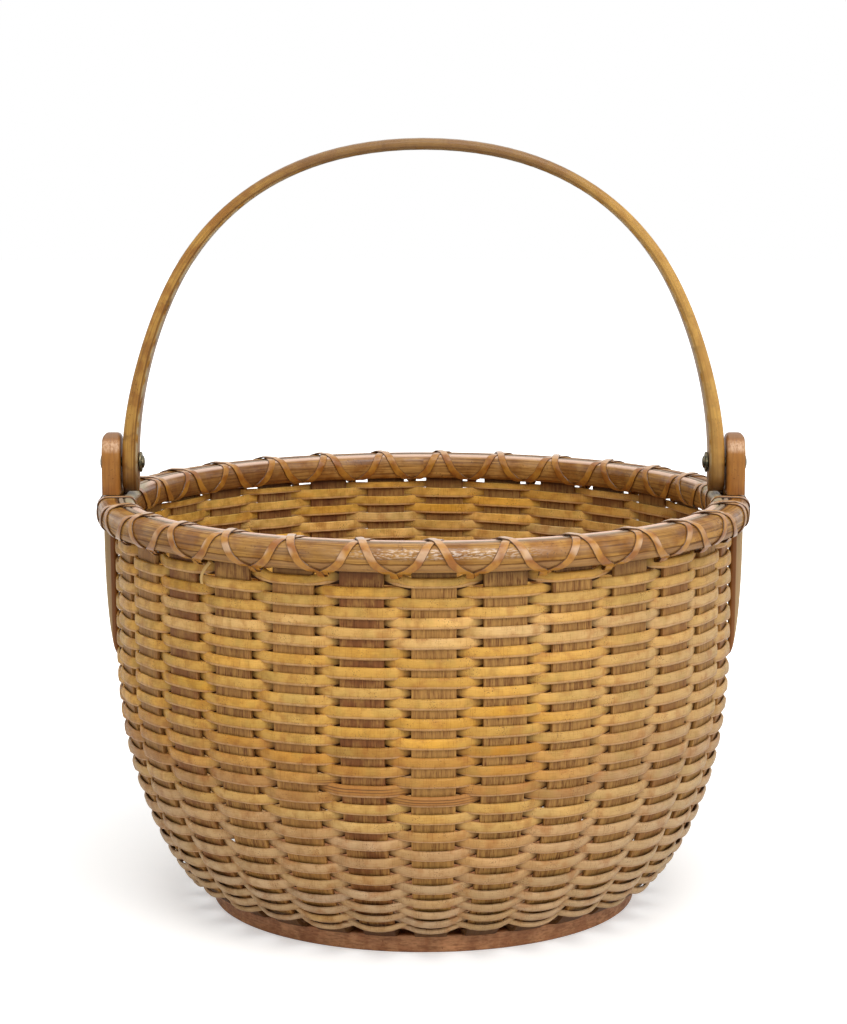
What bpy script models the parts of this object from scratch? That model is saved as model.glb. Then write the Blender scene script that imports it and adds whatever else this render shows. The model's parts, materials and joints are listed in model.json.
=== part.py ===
"""Round basket woven on a turned base, with a bentwood handle that swings between two ears.

Lengths are metres and +Z is up. The origin is the middle of the base's underside. The handle
swings about X, and the front of the basket is towards -Y. Angles round the basket are counted
from the front towards +X.
"""

import math

import bmesh
import bpy
import numpy as np
from mathutils import Matrix, Vector
from mathutils.geometry import interpolate_bezier

# Clearances
GAP = 0.0003
SWING_CLEARANCE = 0.0006
OVERRUN = 0.003
WELD = 0.00001

# Counts and angles of the round pieces
STAVE_COUNT = 29
STAVE_PHASE = math.radians(1.35)
STAVE_PITCH = 2 * math.pi / STAVE_COUNT
FACETS = 2 * STAVE_COUNT
EAR_ANGLES = {"right": math.pi / 2, "left": -math.pi / 2}
SHARP_ANGLE = math.radians(35)
SOFTENED_ANGLE = math.radians(40)

# Turned base
BASE_RADIUS = 0.0837
BASE_FOOT_HEIGHT = 0.0053
BASE_TOP_STEP = 0.0017
BASE_TOP_HEIGHT = 0.0045
BASE_EDGE = 0.0008
GROOVE_DEPTH = 0.008

# Staves
STAVE_THICKNESS = 0.0016
STAVE_TOP_WIDTH = 0.016
STAVE_FOOT_WIDTH = 0.012
STAVE_TAPER_POWER = 3
STAVE_BEND_REACH = 0.0018
STAVE_TOP_DROP = 0.002

# Woven side: the middle of its thickness runs up an elliptic arc from the base, then straight
WALL_RADIUS = 0.11795
WALL_THICKNESS = 0.0043
WALL_FOOT_OFFSET = 0.0033
WALL_FOOT_RISE = 0.0008
BELLY_HEIGHT = 0.0994
SIDE_DEPTH_SHARE = 1.139
SIDE_STEPS = 6

# Hoops
RIM_BOTTOM = 0.1502
HOOP_HEIGHT = 0.0102
OUTER_HOOP_DEPTH = 0.0076
INNER_HOOP_DEPTH = 0.0046
OUTER_HOOP_ROUND = (0.0022, 0.0026)
INNER_HOOP_ROUND = (0.0016, 0.0022)
RIM_CANE_HEIGHT = 0.0017
RIM_CANE_STOP = 0.002

# Lashing
LASHING_WIDTH = 0.003
LASHING_THICKNESS = 0.0007
LASHING_SPREAD = 0.0021
EAR_PASS_STEPS = 5
EAR_PASS_SHARE = 2 / 3
ALONG_RIM_SLOPE = 1.5
SAME_TURN_WIDTHS = 4
LEAST_SELF_GAP = 0.0004

# Handle: its centre line is two Bezier arcs that meet at a shoulder
PIVOT_RISE = 0.0124
HANDLE_RISE = 0.12315
HANDLE_WIDTH = 0.013
HANDLE_FOOT_THICKNESS = 0.0061
HANDLE_TOP_THICKNESS = 0.0053
FOOT_CLEARANCE = 0.0009
HANDLE_EDGE = 0.0011
SHOULDER_SPAN_SHARE = 0.835
SHOULDER_RISE_SHARE = 0.582
SHOULDER_LEAN = math.radians(28.7)
FOOT_PULL_SHARE = 0.201
SHOULDER_PULL_SHARE = 0.168
CROWN_PULL_SHARE = 0.528
BEZIER_STEPS = 9
HANDLE_FOOT_STEPS = 8

# Ears
EAR_THICKNESS = 0.007
EAR_HEAD_WIDTH = 0.019
EAR_HEAD_RISE = 0.0117
EAR_NECK_WIDTH = 0.010
EAR_NECK_THICKNESS = 0.0028
EAR_TAIL_THICKNESS = 0.0048
EAR_TAIL_LENGTH = 0.0535
EAR_TIP_WIDTH = 0.004
EAR_TIP_THICKNESS = 0.0009
EAR_EDGE = 0.0007
EAR_HEAD_STEPS = 8
EAR_TAPER_SHARES = ((0.0, 1.0), (0.25, 0.98), (0.6, 0.82), (0.94, 0.3), (1.0, 0.0))

# Rivets and their burrs
RIVET_RADIUS = 0.0016
RIVET_HEAD_RADIUS = 0.0032
RIVET_HEAD_HEIGHT = 0.0011
RIVET_HEAD_SHARES = (0.62, 0.75)
RIVET_PEEN_RADIUS = 0.0025
RIVET_PEEN_HEIGHT = 0.0008
RIVET_PEEN_SHARE = 0.6
BURR_RADIUS = 0.004
BURR_THICKNESS = 0.001
RIVET_FACETS = 12
BORE_FACETS = 24

# Sizes that follow from the ones above
GROOVE_HEIGHT = STAVE_THICKNESS + 2 * GAP
GROOVE_MIDDLE = BASE_FOOT_HEIGHT + GROOVE_HEIGHT / 2
WALL_FOOT_RADIUS = BASE_RADIUS + WALL_FOOT_OFFSET
WALL_FOOT_HEIGHT = GROOVE_MIDDLE + WALL_FOOT_RISE
SIDE_DEPTH = (BELLY_HEIGHT - WALL_FOOT_HEIGHT) * SIDE_DEPTH_SHARE
SIDE_FOOT_ANGLE = math.acos((BELLY_HEIGHT - WALL_FOOT_HEIGHT) / SIDE_DEPTH)
SIDE_REACH = (WALL_RADIUS - WALL_FOOT_RADIUS) / (1 - math.sin(SIDE_FOOT_ANGLE))
RIM_TOP = RIM_BOTTOM + HOOP_HEIGHT
WEAVE_TOP = RIM_BOTTOM - 2 * LASHING_THICKNESS - 3 * GAP
STAVE_TOP = RIM_TOP - STAVE_TOP_DROP
LASHING_STEP = LASHING_THICKNESS + GAP
LASHING_OFFSET = GAP + LASHING_THICKNESS / 2
PIVOT_HEIGHT = RIM_TOP + PIVOT_RISE
HANDLE_TAIL = PIVOT_RISE - FOOT_CLEARANCE


def facet_dip(radius):
    """How far a flat between two facet corners lies inside their circle."""
    return radius * (1 - math.cos(math.pi / FACETS))


STAVE_OUTER_CORNER = math.hypot(WALL_RADIUS + STAVE_THICKNESS / 2, STAVE_TOP_WIDTH / 2)
OUTER_HOOP_INNER = STAVE_OUTER_CORNER + GAP + facet_dip(STAVE_OUTER_CORNER)
OUTER_HOOP_OUTER = OUTER_HOOP_INNER + OUTER_HOOP_DEPTH
INNER_HOOP_OUTER = WALL_RADIUS - STAVE_THICKNESS / 2 - GAP
INNER_HOOP_INNER = INNER_HOOP_OUTER - INNER_HOOP_DEPTH
EAR_INNER = WALL_RADIUS + GAP
HANDLE_LEG_OUTER = EAR_INNER - SWING_CLEARANCE
HANDLE_LEG_INNER = HANDLE_LEG_OUTER - HANDLE_FOOT_THICKNESS
HANDLE_HALF_SPAN = (HANDLE_LEG_OUTER + HANDLE_LEG_INNER) / 2
EAR_OUTER = EAR_INNER + EAR_THICKNESS
TAIL_INNER = WALL_RADIUS + WALL_THICKNESS / 2 + GAP
NECK_OUTER = TAIL_INNER + EAR_NECK_THICKNESS
EAR_TOP = PIVOT_HEIGHT + EAR_HEAD_RISE


def around(radius, height, angle):
    """The point at a radius and height, at an angle from the front."""
    return Vector((radius * math.sin(angle), -radius * math.cos(angle), height))


def make_material(name, colour, roughness, metallic=0.0):
    """A plain finish with a colour, a roughness and a metallic value."""
    material = bpy.data.materials.new(name)
    material.use_nodes = True
    shader = material.node_tree.nodes["Principled BSDF"]
    shader.inputs["Base Color"].default_value = (*colour, 1.0)
    shader.inputs["Roughness"].default_value = roughness
    shader.inputs["Metallic"].default_value = metallic
    return material


def add_object(name, mesh, collection, material=None):
    """An object for a mesh, in a collection, smooth except at its sharp edges."""
    if material:
        mesh.materials.append(material)
    made = bpy.data.objects.new(name, mesh)
    collection.objects.link(made)
    mesh.shade_smooth()
    mesh.set_sharp_from_angle(angle=SHARP_ANGLE)
    return made


def mesh_from(bm, name):
    """A mesh from a bmesh, which is freed."""
    mesh = bpy.data.meshes.new(name)
    bm.to_mesh(mesh)
    bm.free()
    return mesh


def turned(name, profile, collection, material, closed=False, facets=FACETS):
    """A profile of (radius, height) points turned about Z, with a corner at the first stave."""
    bm = bmesh.new()
    corners = [bm.verts.new((radius, 0, height)) for radius, height in profile]
    for first, second in zip(corners, corners[1:]):
        bm.edges.new((first, second))
    if closed:
        bm.edges.new((corners[-1], corners[0]))
    made = add_object(name, mesh_from(bm, name), collection, material)
    made.rotation_euler.z = STAVE_PHASE - math.pi / 2
    screw = made.modifiers.new("turn", "SCREW")
    screw.steps = screw.render_steps = facets
    screw.use_merge_vertices = True
    screw.merge_threshold = WELD
    screw.use_smooth_shade = True
    return made


def ribbon_mesh(name, rings):
    """An open strip through rings, each the left and right point of its middle surface."""
    bm = bmesh.new()
    bmesh.ops.create_grid(bm, x_segments=1, y_segments=len(rings) - 1, size=1)
    corners = sorted(bm.verts, key=lambda corner: (corner.co.y, corner.co.x))
    for corner, place in zip(corners, (point for ring in rings for point in ring)):
        corner.co = place
    return mesh_from(bm, name)


def thicken(piece, thickness):
    """Gives an open surface its thickness, half to each side."""
    solidify = piece.modifiers.new("thickness", "SOLIDIFY")
    solidify.thickness = thickness
    solidify.offset = 0
    solidify.use_even_offset = True


def cut(piece, cutter, operation="DIFFERENCE"):
    """Cuts a piece by another, or keeps what they share."""
    boolean = piece.modifiers.new(cutter.name, "BOOLEAN")
    boolean.operation = operation
    boolean.object = cutter
    cutter.hide_render = True
    cutter.display_type = "WIRE"


def soften(piece, width, segments=2):
    """Rounds the sharp edges of a piece."""
    bevel = piece.modifiers.new("rounding", "BEVEL")
    bevel.width = width
    bevel.segments = segments
    bevel.limit_method = "ANGLE"
    bevel.angle_limit = SOFTENED_ANGLE


def outline_mesh(name, outline, low, high, sideways=False):
    """A flat outline given a depth.

    The outline's points are (across, height). They lie along X, with the depth from low to
    high along Y, or the other way round when sideways.
    """
    curve = bpy.data.curves.new(name, "CURVE")
    curve.dimensions = "2D"
    curve.fill_mode = "BOTH"
    curve.extrude = (high - low) / 2
    spline = curve.splines.new("POLY")
    spline.points.add(len(outline) - 1)
    for point, (across, height) in zip(spline.points, outline):
        point.co = (across, height, 0, 1)
    spline.use_cyclic_u = True
    guide = bpy.data.objects.new(name, curve)
    bpy.context.scene.collection.objects.link(guide)
    graph = bpy.context.evaluated_depsgraph_get()
    mesh = bpy.data.meshes.new_from_object(guide.evaluated_get(graph))
    bpy.data.objects.remove(guide)
    bpy.data.curves.remove(curve)
    bm = bmesh.new()
    bm.from_mesh(mesh)
    bpy.data.meshes.remove(mesh)
    bmesh.ops.remove_doubles(bm, verts=bm.verts, dist=WELD)
    upright = Matrix.Rotation(math.pi / 2, 4, "X")
    if sideways:
        upright = Matrix.Rotation(math.pi / 2, 4, "Z") @ upright
        middle = Vector(((low + high) / 2, 0, 0))
    else:
        middle = Vector((0, (low + high) / 2, 0))
    bmesh.ops.transform(bm, matrix=Matrix.Translation(middle) @ upright, verts=bm.verts)
    return mesh_from(bm, name)


def rod_mesh(name, radius, low, high, facets):
    """A rod along X, from low to high, at the height of the pivot."""
    bm = bmesh.new()
    bmesh.ops.create_cone(
        bm, cap_ends=True, segments=facets, radius1=radius, radius2=radius, depth=high - low
    )
    place = Matrix.Translation(((low + high) / 2, 0, PIVOT_HEIGHT))
    lie_down = Matrix.Rotation(math.pi / 2, 4, "Y")
    bmesh.ops.transform(bm, matrix=place @ lie_down, verts=bm.verts)
    return mesh_from(bm, name)


def side_point(angle):
    """The middle of the side, (radius, height), at an angle of its elliptic arc."""
    radius = WALL_RADIUS - SIDE_REACH * (1 - math.sin(angle))
    return radius, BELLY_HEIGHT - SIDE_DEPTH * math.cos(angle)


def side_angles():
    """The angles of the side's arc at its rings, from the base to the belly."""
    sweep = math.pi / 2 - SIDE_FOOT_ANGLE
    return [SIDE_FOOT_ANGLE + sweep * step / SIDE_STEPS for step in range(SIDE_STEPS + 1)]


def stave_width(angle):
    """A stave widens from the base to the belly."""
    left_share = (math.pi / 2 - angle) / (math.pi / 2 - SIDE_FOOT_ANGLE)
    narrowing = (STAVE_TOP_WIDTH - STAVE_FOOT_WIDTH) * left_share**STAVE_TAPER_POWER
    return STAVE_TOP_WIDTH - narrowing


def flat_ring(radius, height, width):
    """The two edges of a stave that faces the front."""
    return Vector((-width / 2, -radius, height)), Vector((width / 2, -radius, height))


def stave_rings():
    """The rings of a stave from its tongue in the groove to its top between the hoops."""
    tongue_end = BASE_RADIUS - GROOVE_DEPTH + GAP
    rings = [flat_ring(tongue_end, GROOVE_MIDDLE, STAVE_FOOT_WIDTH)]
    rings.append(flat_ring(BASE_RADIUS + STAVE_BEND_REACH, GROOVE_MIDDLE, STAVE_FOOT_WIDTH))
    rings += [flat_ring(*side_point(angle), stave_width(angle)) for angle in side_angles()]
    rings.append(flat_ring(WALL_RADIUS, STAVE_TOP, STAVE_TOP_WIDTH))
    return rings


def slot_rings():
    """The rings of the slot that a stave leaves in the weave, past both ends of the weave."""
    angles = side_angles()
    first = Vector(side_point(angles[0]))
    onward = (Vector(side_point(angles[1])) - first).normalized()
    start = first - OVERRUN * onward
    rings = [flat_ring(*start, STAVE_FOOT_WIDTH + 2 * GAP)]
    rings += [flat_ring(*side_point(angle), stave_width(angle) + 2 * GAP) for angle in angles]
    rings.append(flat_ring(WALL_RADIUS, WEAVE_TOP + OVERRUN, STAVE_TOP_WIDTH + 2 * GAP))
    return rings


def make_base(parts, wood):
    """The turned base: a foot, the groove that takes the staves, and a smaller top."""
    groove_top = BASE_FOOT_HEIGHT + GROOVE_HEIGHT
    groove_radius = BASE_RADIUS - GROOVE_DEPTH
    top_radius = BASE_RADIUS - BASE_TOP_STEP
    top = groove_top + BASE_TOP_HEIGHT
    profile = [
        (0, top),
        (top_radius - 2 * BASE_EDGE, top),
        (top_radius, top - 2 * BASE_EDGE),
        (top_radius, groove_top),
        (groove_radius, groove_top),
        (groove_radius, BASE_FOOT_HEIGHT),
        (BASE_RADIUS, BASE_FOOT_HEIGHT),
        (BASE_RADIUS, BASE_EDGE),
        (BASE_RADIUS - BASE_EDGE, 0),
        (0, 0),
    ]
    turned("base_plate", profile, parts, wood)


def make_staves(parts, wood):
    """The staves, which stand in the base's groove and end between the hoops."""
    mesh = ribbon_mesh("stave", stave_rings())
    mesh.materials.append(wood)
    for number in range(STAVE_COUNT):
        stave = add_object(f"stave_{number + 1:02d}", mesh, parts)
        stave.rotation_euler.z = STAVE_PHASE + number * STAVE_PITCH
        thicken(stave, STAVE_THICKNESS)


def make_wall(parts, cutters, cane):
    """The woven side, as a shell as thick as the weave with a slot for each stave."""
    profile = [side_point(angle) for angle in side_angles()]
    profile.append((WALL_RADIUS, WEAVE_TOP))
    wall = turned("woven_wall", profile[::-1], parts, cane)
    thicken(wall, WALL_THICKNESS)
    slot = ribbon_mesh("stave_slots", slot_rings())
    slots = bmesh.new()
    for number in range(STAVE_COUNT):
        copy = slot.copy()
        copy.transform(Matrix.Rotation(STAVE_PHASE + number * STAVE_PITCH, 4, "Z"))
        slots.from_mesh(copy)
        bpy.data.meshes.remove(copy)
    bpy.data.meshes.remove(slot)
    cutter = add_object("stave_slots", mesh_from(slots, "stave_slots"), cutters)
    thicken(cutter, STAVE_THICKNESS + 2 * GAP)
    cut(wall, cutter)


def outer_hoop_section():
    """The outer hoop's section, flat inside and rounded outside."""
    inset, rise = OUTER_HOOP_ROUND
    return [
        (OUTER_HOOP_OUTER - inset, RIM_TOP),
        (OUTER_HOOP_OUTER, RIM_TOP - rise),
        (OUTER_HOOP_OUTER, RIM_BOTTOM + rise),
        (OUTER_HOOP_OUTER - inset, RIM_BOTTOM),
        (OUTER_HOOP_INNER, RIM_BOTTOM),
        (OUTER_HOOP_INNER, RIM_TOP),
    ]


def inner_hoop_section():
    """The inner hoop's section, flat outside and rounded inside."""
    inset, rise = INNER_HOOP_ROUND
    return [
        (INNER_HOOP_OUTER, RIM_TOP),
        (INNER_HOOP_OUTER, RIM_BOTTOM),
        (INNER_HOOP_INNER + inset, RIM_BOTTOM),
        (INNER_HOOP_INNER, RIM_BOTTOM + rise),
        (INNER_HOOP_INNER, RIM_TOP - rise),
        (INNER_HOOP_INNER + inset, RIM_TOP),
    ]


def make_hoops(parts, cutters, wood):
    """The two hoops that clamp the staves' tops. The outer one is notched for the ears' necks."""
    turned("inner_hoop", inner_hoop_section(), parts, wood, closed=True)
    outer_hoop = turned("outer_hoop", outer_hoop_section(), parts, wood, closed=True)
    side = EAR_NECK_WIDTH / 2 + GAP
    outline = [
        (-side, RIM_BOTTOM - OVERRUN),
        (side, RIM_BOTTOM - OVERRUN),
        (side, RIM_TOP + OVERRUN),
        (-side, RIM_TOP + OVERRUN),
    ]
    low = OUTER_HOOP_INNER - OVERRUN
    high = NECK_OUTER + GAP
    for side_name, angle in EAR_ANGLES.items():
        name = f"neck_notch_{side_name}"
        mesh = outline_mesh(name, outline, low, high, sideways=True)
        notch = add_object(name, mesh, cutters)
        notch.rotation_euler.z = angle - math.pi / 2
        cut(outer_hoop, notch)


def make_rim_canes(parts, cane):
    """The cane that covers the staves' tops between the hoops, in front and behind."""
    inner = INNER_HOOP_OUTER + GAP
    outer = OUTER_HOOP_INNER - facet_dip(OUTER_HOOP_INNER) - GAP
    height = RIM_TOP - RIM_CANE_HEIGHT / 2
    stop = (EAR_HEAD_WIDTH / 2 + RIM_CANE_STOP) / outer
    steps = STAVE_COUNT
    sweep = math.pi - 2 * stop
    for name, start in (("front", -math.pi / 2 + stop), ("back", math.pi / 2 + stop)):
        angles = [start + sweep * step / steps for step in range(steps + 1)]
        rings = [(around(inner, height, angle), around(outer, height, angle)) for angle in angles]
        piece = add_object(
            f"rim_cane_{name}", ribbon_mesh(f"rim_cane_{name}", rings), parts, cane
        )
        thicken(piece, RIM_CANE_HEIGHT)


def mitred(before, corner, after, distance):
    """A corner of a convex section, moved out so that both its sides lie at a distance."""
    inward = (corner - before).normalized()
    onward = (after - corner).normalized()
    bisector = Vector((onward.x - inward.x, onward.y - inward.y))
    bisector.normalize()
    return corner - bisector * distance / math.sqrt((1 + inward.dot(onward)) / 2)


def rim_stations(offset):
    """The corners of the whole rim's section, moved out by an offset, with its two middles.

    They run from the bottom of the outer face up, over the top, down the inner face and to
    the middle of the bottom.
    """
    outer_inset, outer_rise = OUTER_HOOP_ROUND
    inner_inset, inner_rise = INNER_HOOP_ROUND
    inner_face = INNER_HOOP_INNER - facet_dip(INNER_HOOP_INNER)
    section = [
        Vector((OUTER_HOOP_OUTER - outer_inset, RIM_BOTTOM)),
        Vector((OUTER_HOOP_OUTER, RIM_BOTTOM + outer_rise)),
        Vector((OUTER_HOOP_OUTER, RIM_TOP - outer_rise)),
        Vector((OUTER_HOOP_OUTER - outer_inset, RIM_TOP)),
        Vector((inner_face + inner_inset, RIM_TOP)),
        Vector((inner_face, RIM_TOP - inner_rise)),
        Vector((inner_face, RIM_BOTTOM + inner_rise)),
        Vector((inner_face + inner_inset, RIM_BOTTOM)),
    ]
    count = len(section)
    moved = [
        mitred(section[place - 1], section[place], section[(place + 1) % count], offset)
        for place in range(count)
    ]
    top_middle = (moved[3] + moved[4]) / 2
    bottom_middle = (moved[7] + moved[0]) / 2
    return moved[:4] + [top_middle] + moved[4:] + [bottom_middle]


def strand_stations(raised):
    """The stations of one strand: the raised one crosses above on top and below the hoops."""
    low = rim_stations(LASHING_OFFSET)
    if not raised:
        return low
    high = rim_stations(LASHING_OFFSET + LASHING_STEP)
    sides = (1, 2, 6, 7)
    return [low[place] if place in sides else high[place] for place in range(len(low))]


def spread_angles(stations, start, end):
    """Angles for stations, shared out by the length of the section between them."""
    lengths = [0.0]
    for first, second in zip(stations, stations[1:]):
        lengths.append(lengths[-1] + (second - first).length)
    return [start + (end - start) * length / lengths[-1] for length in lengths]


def stave_wrap(stations, gap_angle, way):
    """One turn of a strand over a stave: (station, angle) from one gap to the next."""
    spread = way * LASHING_SPREAD / WALL_RADIUS
    apex = gap_angle + way * STAVE_PITCH / 2
    next_gap = gap_angle + way * STAVE_PITCH
    up = spread_angles(stations[0:4], gap_angle + spread, apex - spread)
    down = spread_angles(stations[5:9], apex + spread, next_gap - spread)
    angles = up + [apex] + down + [next_gap]
    return list(zip(stations, angles))


def ear_wrap(stations, raised, gap_angle, next_gap, way):
    """The turn that passes across the front of an ear's neck and over the rim beyond it."""
    spread = way * LASHING_SPREAD / WALL_RADIUS
    nearest = min(EAR_ANGLES.values(), key=lambda ear: abs(turn_between(ear, gap_angle)))
    ear = gap_angle + turn_between(gap_angle, nearest)
    clear = EAR_HEAD_WIDTH / 2 + 2 * GAP + LASHING_WIDTH * EAR_PASS_SHARE
    beyond = ear + way * clear / OUTER_HOOP_INNER
    start = gap_angle + spread
    face = rim_stations(LASHING_OFFSET + LASHING_STEP)[1:3] if raised else stations[1:3]
    turn = [(stations[0], start)]
    for step in range(EAR_PASS_STEPS + 1):
        share = step / EAR_PASS_STEPS
        turn.append((face[0].lerp(face[1], share), start + (beyond - start) * share))
    turn += [(station, beyond) for station in stations[3:6]]
    down = spread_angles(stations[5:9], beyond, next_gap - spread)
    turn += list(zip(stations[6:9], down[1:]))
    return turn


def turn_between(first, second):
    """The signed turn from one angle to another, within half a circle each way."""
    return (second - first + math.pi) % (2 * math.pi) - math.pi


def strand_rings(path):
    """The edges of a strand along its path of (station, angle).

    Its edges are cut along the rim, so that it folds flat over the rim's corners. Where it
    runs more along the rim than across it, they are cut square to its path.
    """
    slopes = []
    for (first, first_angle), (second, second_angle) in zip(path, path[1:]):
        sideways = (second_angle - first_angle) * (first.x + second.x) / 2
        slopes.append(sideways / (second - first).length)
    rings = []
    for place, (station, angle) in enumerate(path):
        before = slopes[max(place - 1, 0)]
        after = slopes[min(place, len(slopes) - 1)]
        slope = min(before, after, key=abs)
        reach = LASHING_WIDTH / 2 * math.sqrt(1 + slope**2)
        rise = 0
        if abs(slope) > ALONG_RIM_SLOPE:
            reach = LASHING_WIDTH / 2 / math.sqrt(1 + slope**2)
            rise = slope * reach
        left = around(station.x, station.y + rise, angle - reach / station.x)
        right = around(station.x, station.y - rise, angle + reach / station.x)
        rings.append((left, right))
    return rings


def self_gap(rings):
    """The least gap from a strand to its other turns, measured between points on its edges."""
    near = SAME_TURN_WIDTHS * LASHING_WIDTH
    points = []
    travel = []
    run = 0.0
    for first, second in zip(rings, rings[1:]):
        length = ((second[0] + second[1]) - (first[0] + first[1])).length / 2
        steps = max(2, math.ceil(length / (LASHING_WIDTH / 4)))
        for step in range(steps):
            share = step / steps
            for side in (0, 1):
                points.append(first[side].lerp(second[side], share))
                travel.append(run + length * share)
        run += length
    points = np.array(points)
    travel = np.array(travel)
    least = math.inf
    for place, along in zip(points, travel):
        others = points[np.abs(travel - along) > near]
        least = min(least, np.linalg.norm(others - place, axis=1).min())
    return least - LASHING_THICKNESS


def make_lashing(parts, name, first_gap, turns, next_gap, way, cane):
    """One strand along half of the rim, with a turn over each stave and one past an ear."""
    raised = way < 0
    stations = strand_stations(raised)
    path = []
    gap_angle = first_gap
    for _ in range(turns):
        path += stave_wrap(stations, gap_angle, way)
        gap_angle += way * STAVE_PITCH
    path += ear_wrap(stations, raised, gap_angle, next_gap, way)
    rings = strand_rings(path)
    least = self_gap(rings)
    print(f"{name}: least gap to itself {least * 1000:.2f} mm over {turns + 1} turns")
    if least < LEAST_SELF_GAP:
        print(f"{name}: that is under {LEAST_SELF_GAP * 1000:.2f} mm")
    piece = add_object(name, ribbon_mesh(name, rings), parts, cane)
    thicken(piece, LASHING_THICKNESS)


def make_lashings(parts, cane):
    """Two strands of opposite hand along the front of the rim, and two along the back.

    They run between the ears, over every stave that stands clear of their heads and has a gap
    clear of their necks on both sides. Gap 0 is half a pitch past the front stave.
    """
    strand = LASHING_SPREAD + LASHING_WIDTH / 2 + GAP
    head_reach = (EAR_HEAD_WIDTH / 2 + strand) / OUTER_HOOP_OUTER
    neck_reach = (EAR_NECK_WIDTH / 2 + strand) / OUTER_HOOP_OUTER

    def gap(number):
        return STAVE_PHASE + (number + 0.5) * STAVE_PITCH

    def off_ears(angle, reach):
        return all(abs(turn_between(ear, angle)) > reach for ear in EAR_ANGLES.values())

    def clear(stave):
        apex = STAVE_PHASE + stave * STAVE_PITCH
        gaps = (gap(stave - 1), gap(stave))
        return off_ears(apex, head_reach) and all(off_ears(side, neck_reach) for side in gaps)

    front_last = next(stave for stave in range(STAVE_COUNT) if not clear(stave + 1))
    front_first = -next(stave for stave in range(STAVE_COUNT) if not clear(-stave - 1))
    half = STAVE_COUNT // 2
    back_first = half - next(step for step in range(half) if not clear(half - step - 1))
    back_last = half + next(step for step in range(half) if not clear(half + step + 1))
    whole = STAVE_COUNT
    front_turns = front_last - front_first + 1
    back_turns = back_last - back_first + 1
    for name, start, turns, end, way in (
        ("front_forward", gap(front_first - 1), front_turns, gap(back_first - 1), 1),
        ("front_return", gap(front_last), front_turns, gap(back_last - whole), -1),
        ("back_forward", gap(back_first - 1), back_turns, gap(front_first - 1 + whole), 1),
        ("back_return", gap(back_last), back_turns, gap(front_last), -1),
    ):
        make_lashing(parts, f"lashing_{name}", start, turns, end, way, cane)


def ear_front_outline():
    """An ear seen from the side of the basket: round head, narrow neck, tapering tail."""
    shoulder = RIM_TOP + 2 * GAP
    half_head = EAR_HEAD_WIDTH / 2
    half_neck = EAR_NECK_WIDTH / 2
    half_tip = EAR_TIP_WIDTH / 2
    tip = RIM_BOTTOM - EAR_TAIL_LENGTH
    right = [(half_tip, tip), (half_neck, RIM_BOTTOM), (half_neck, shoulder), (half_head, shoulder)]
    round_rise = min(half_head, EAR_TOP - shoulder)
    for step in range(EAR_HEAD_STEPS):
        angle = math.pi / 2 * step / EAR_HEAD_STEPS
        height = EAR_TOP - round_rise + round_rise * math.sin(angle)
        right.append((half_head * math.cos(angle), height))
    left = [(-across, height) for across, height in reversed(right)]
    return right + [(0, EAR_TOP)] + left


def ear_side_outline():
    """An ear seen from the front: head inside, notch for the hoop, tail down the weave."""
    shoulder = RIM_TOP + GAP
    ledge = RIM_BOTTOM - GAP
    outline = [
        (EAR_INNER, EAR_TOP + OVERRUN),
        (EAR_INNER, shoulder),
        (TAIL_INNER, shoulder),
        (TAIL_INNER, RIM_BOTTOM - EAR_TAIL_LENGTH - OVERRUN),
    ]
    swell = EAR_TAIL_THICKNESS - EAR_TIP_THICKNESS
    for down_share, thickness_share in reversed(EAR_TAPER_SHARES):
        across = TAIL_INNER + EAR_TIP_THICKNESS + swell * thickness_share
        drop = OVERRUN if down_share == 1 else 0
        outline.append((across, ledge - (EAR_TAIL_LENGTH - GAP) * down_share - drop))
    outline += [
        (NECK_OUTER, ledge),
        (NECK_OUTER, shoulder),
        (EAR_OUTER, shoulder),
        (EAR_OUTER, EAR_TOP + OVERRUN),
    ]
    return outline


def make_ears(parts, cutters, wood):
    """The two ears, each cut from two outlines and bored for its rivet."""
    reach = EAR_HEAD_WIDTH / 2 + OVERRUN
    low = EAR_INNER - OVERRUN
    high = EAR_OUTER + OVERRUN
    for side_name, angle in EAR_ANGLES.items():
        turn = angle - math.pi / 2
        name = f"ear_{side_name}"
        mesh = outline_mesh(name, ear_front_outline(), low, high, sideways=True)
        ear = add_object(name, mesh, parts, wood)
        side = outline_mesh(f"{name}_side", ear_side_outline(), -reach, reach)
        side_cutter = add_object(f"{name}_side", side, cutters)
        bore = rod_mesh(f"{name}_bore", RIVET_RADIUS + GAP, low, high, BORE_FACETS)
        bore_cutter = add_object(f"{name}_bore", bore, cutters)
        for piece in (ear, side_cutter, bore_cutter):
            piece.rotation_euler.z = turn
        cut(ear, side_cutter, "INTERSECT")
        soften(ear, EAR_EDGE, segments=1)
        cut(ear, bore_cutter)


def bow_centre_line():
    """The handle's centre line from the crown to the right pivot, as (across, rise) points."""
    lean = Vector((-math.sin(SHOULDER_LEAN), math.cos(SHOULDER_LEAN)))
    foot = Vector((HANDLE_HALF_SPAN, 0))
    foot_pull = foot + Vector((0, HANDLE_RISE * FOOT_PULL_SHARE))
    shoulder = Vector((HANDLE_HALF_SPAN * SHOULDER_SPAN_SHARE, HANDLE_RISE * SHOULDER_RISE_SHARE))
    pull = lean * HANDLE_RISE * SHOULDER_PULL_SHARE
    crown = Vector((0, HANDLE_RISE))
    crown_pull = Vector((HANDLE_HALF_SPAN * CROWN_PULL_SHARE, HANDLE_RISE))
    upper = interpolate_bezier(crown, crown_pull, shoulder + pull, shoulder, BEZIER_STEPS)
    lower = interpolate_bezier(shoulder, shoulder - pull, foot_pull, foot, BEZIER_STEPS)
    return [Vector(point[:2]) for point in upper + lower[1:]]


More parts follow.
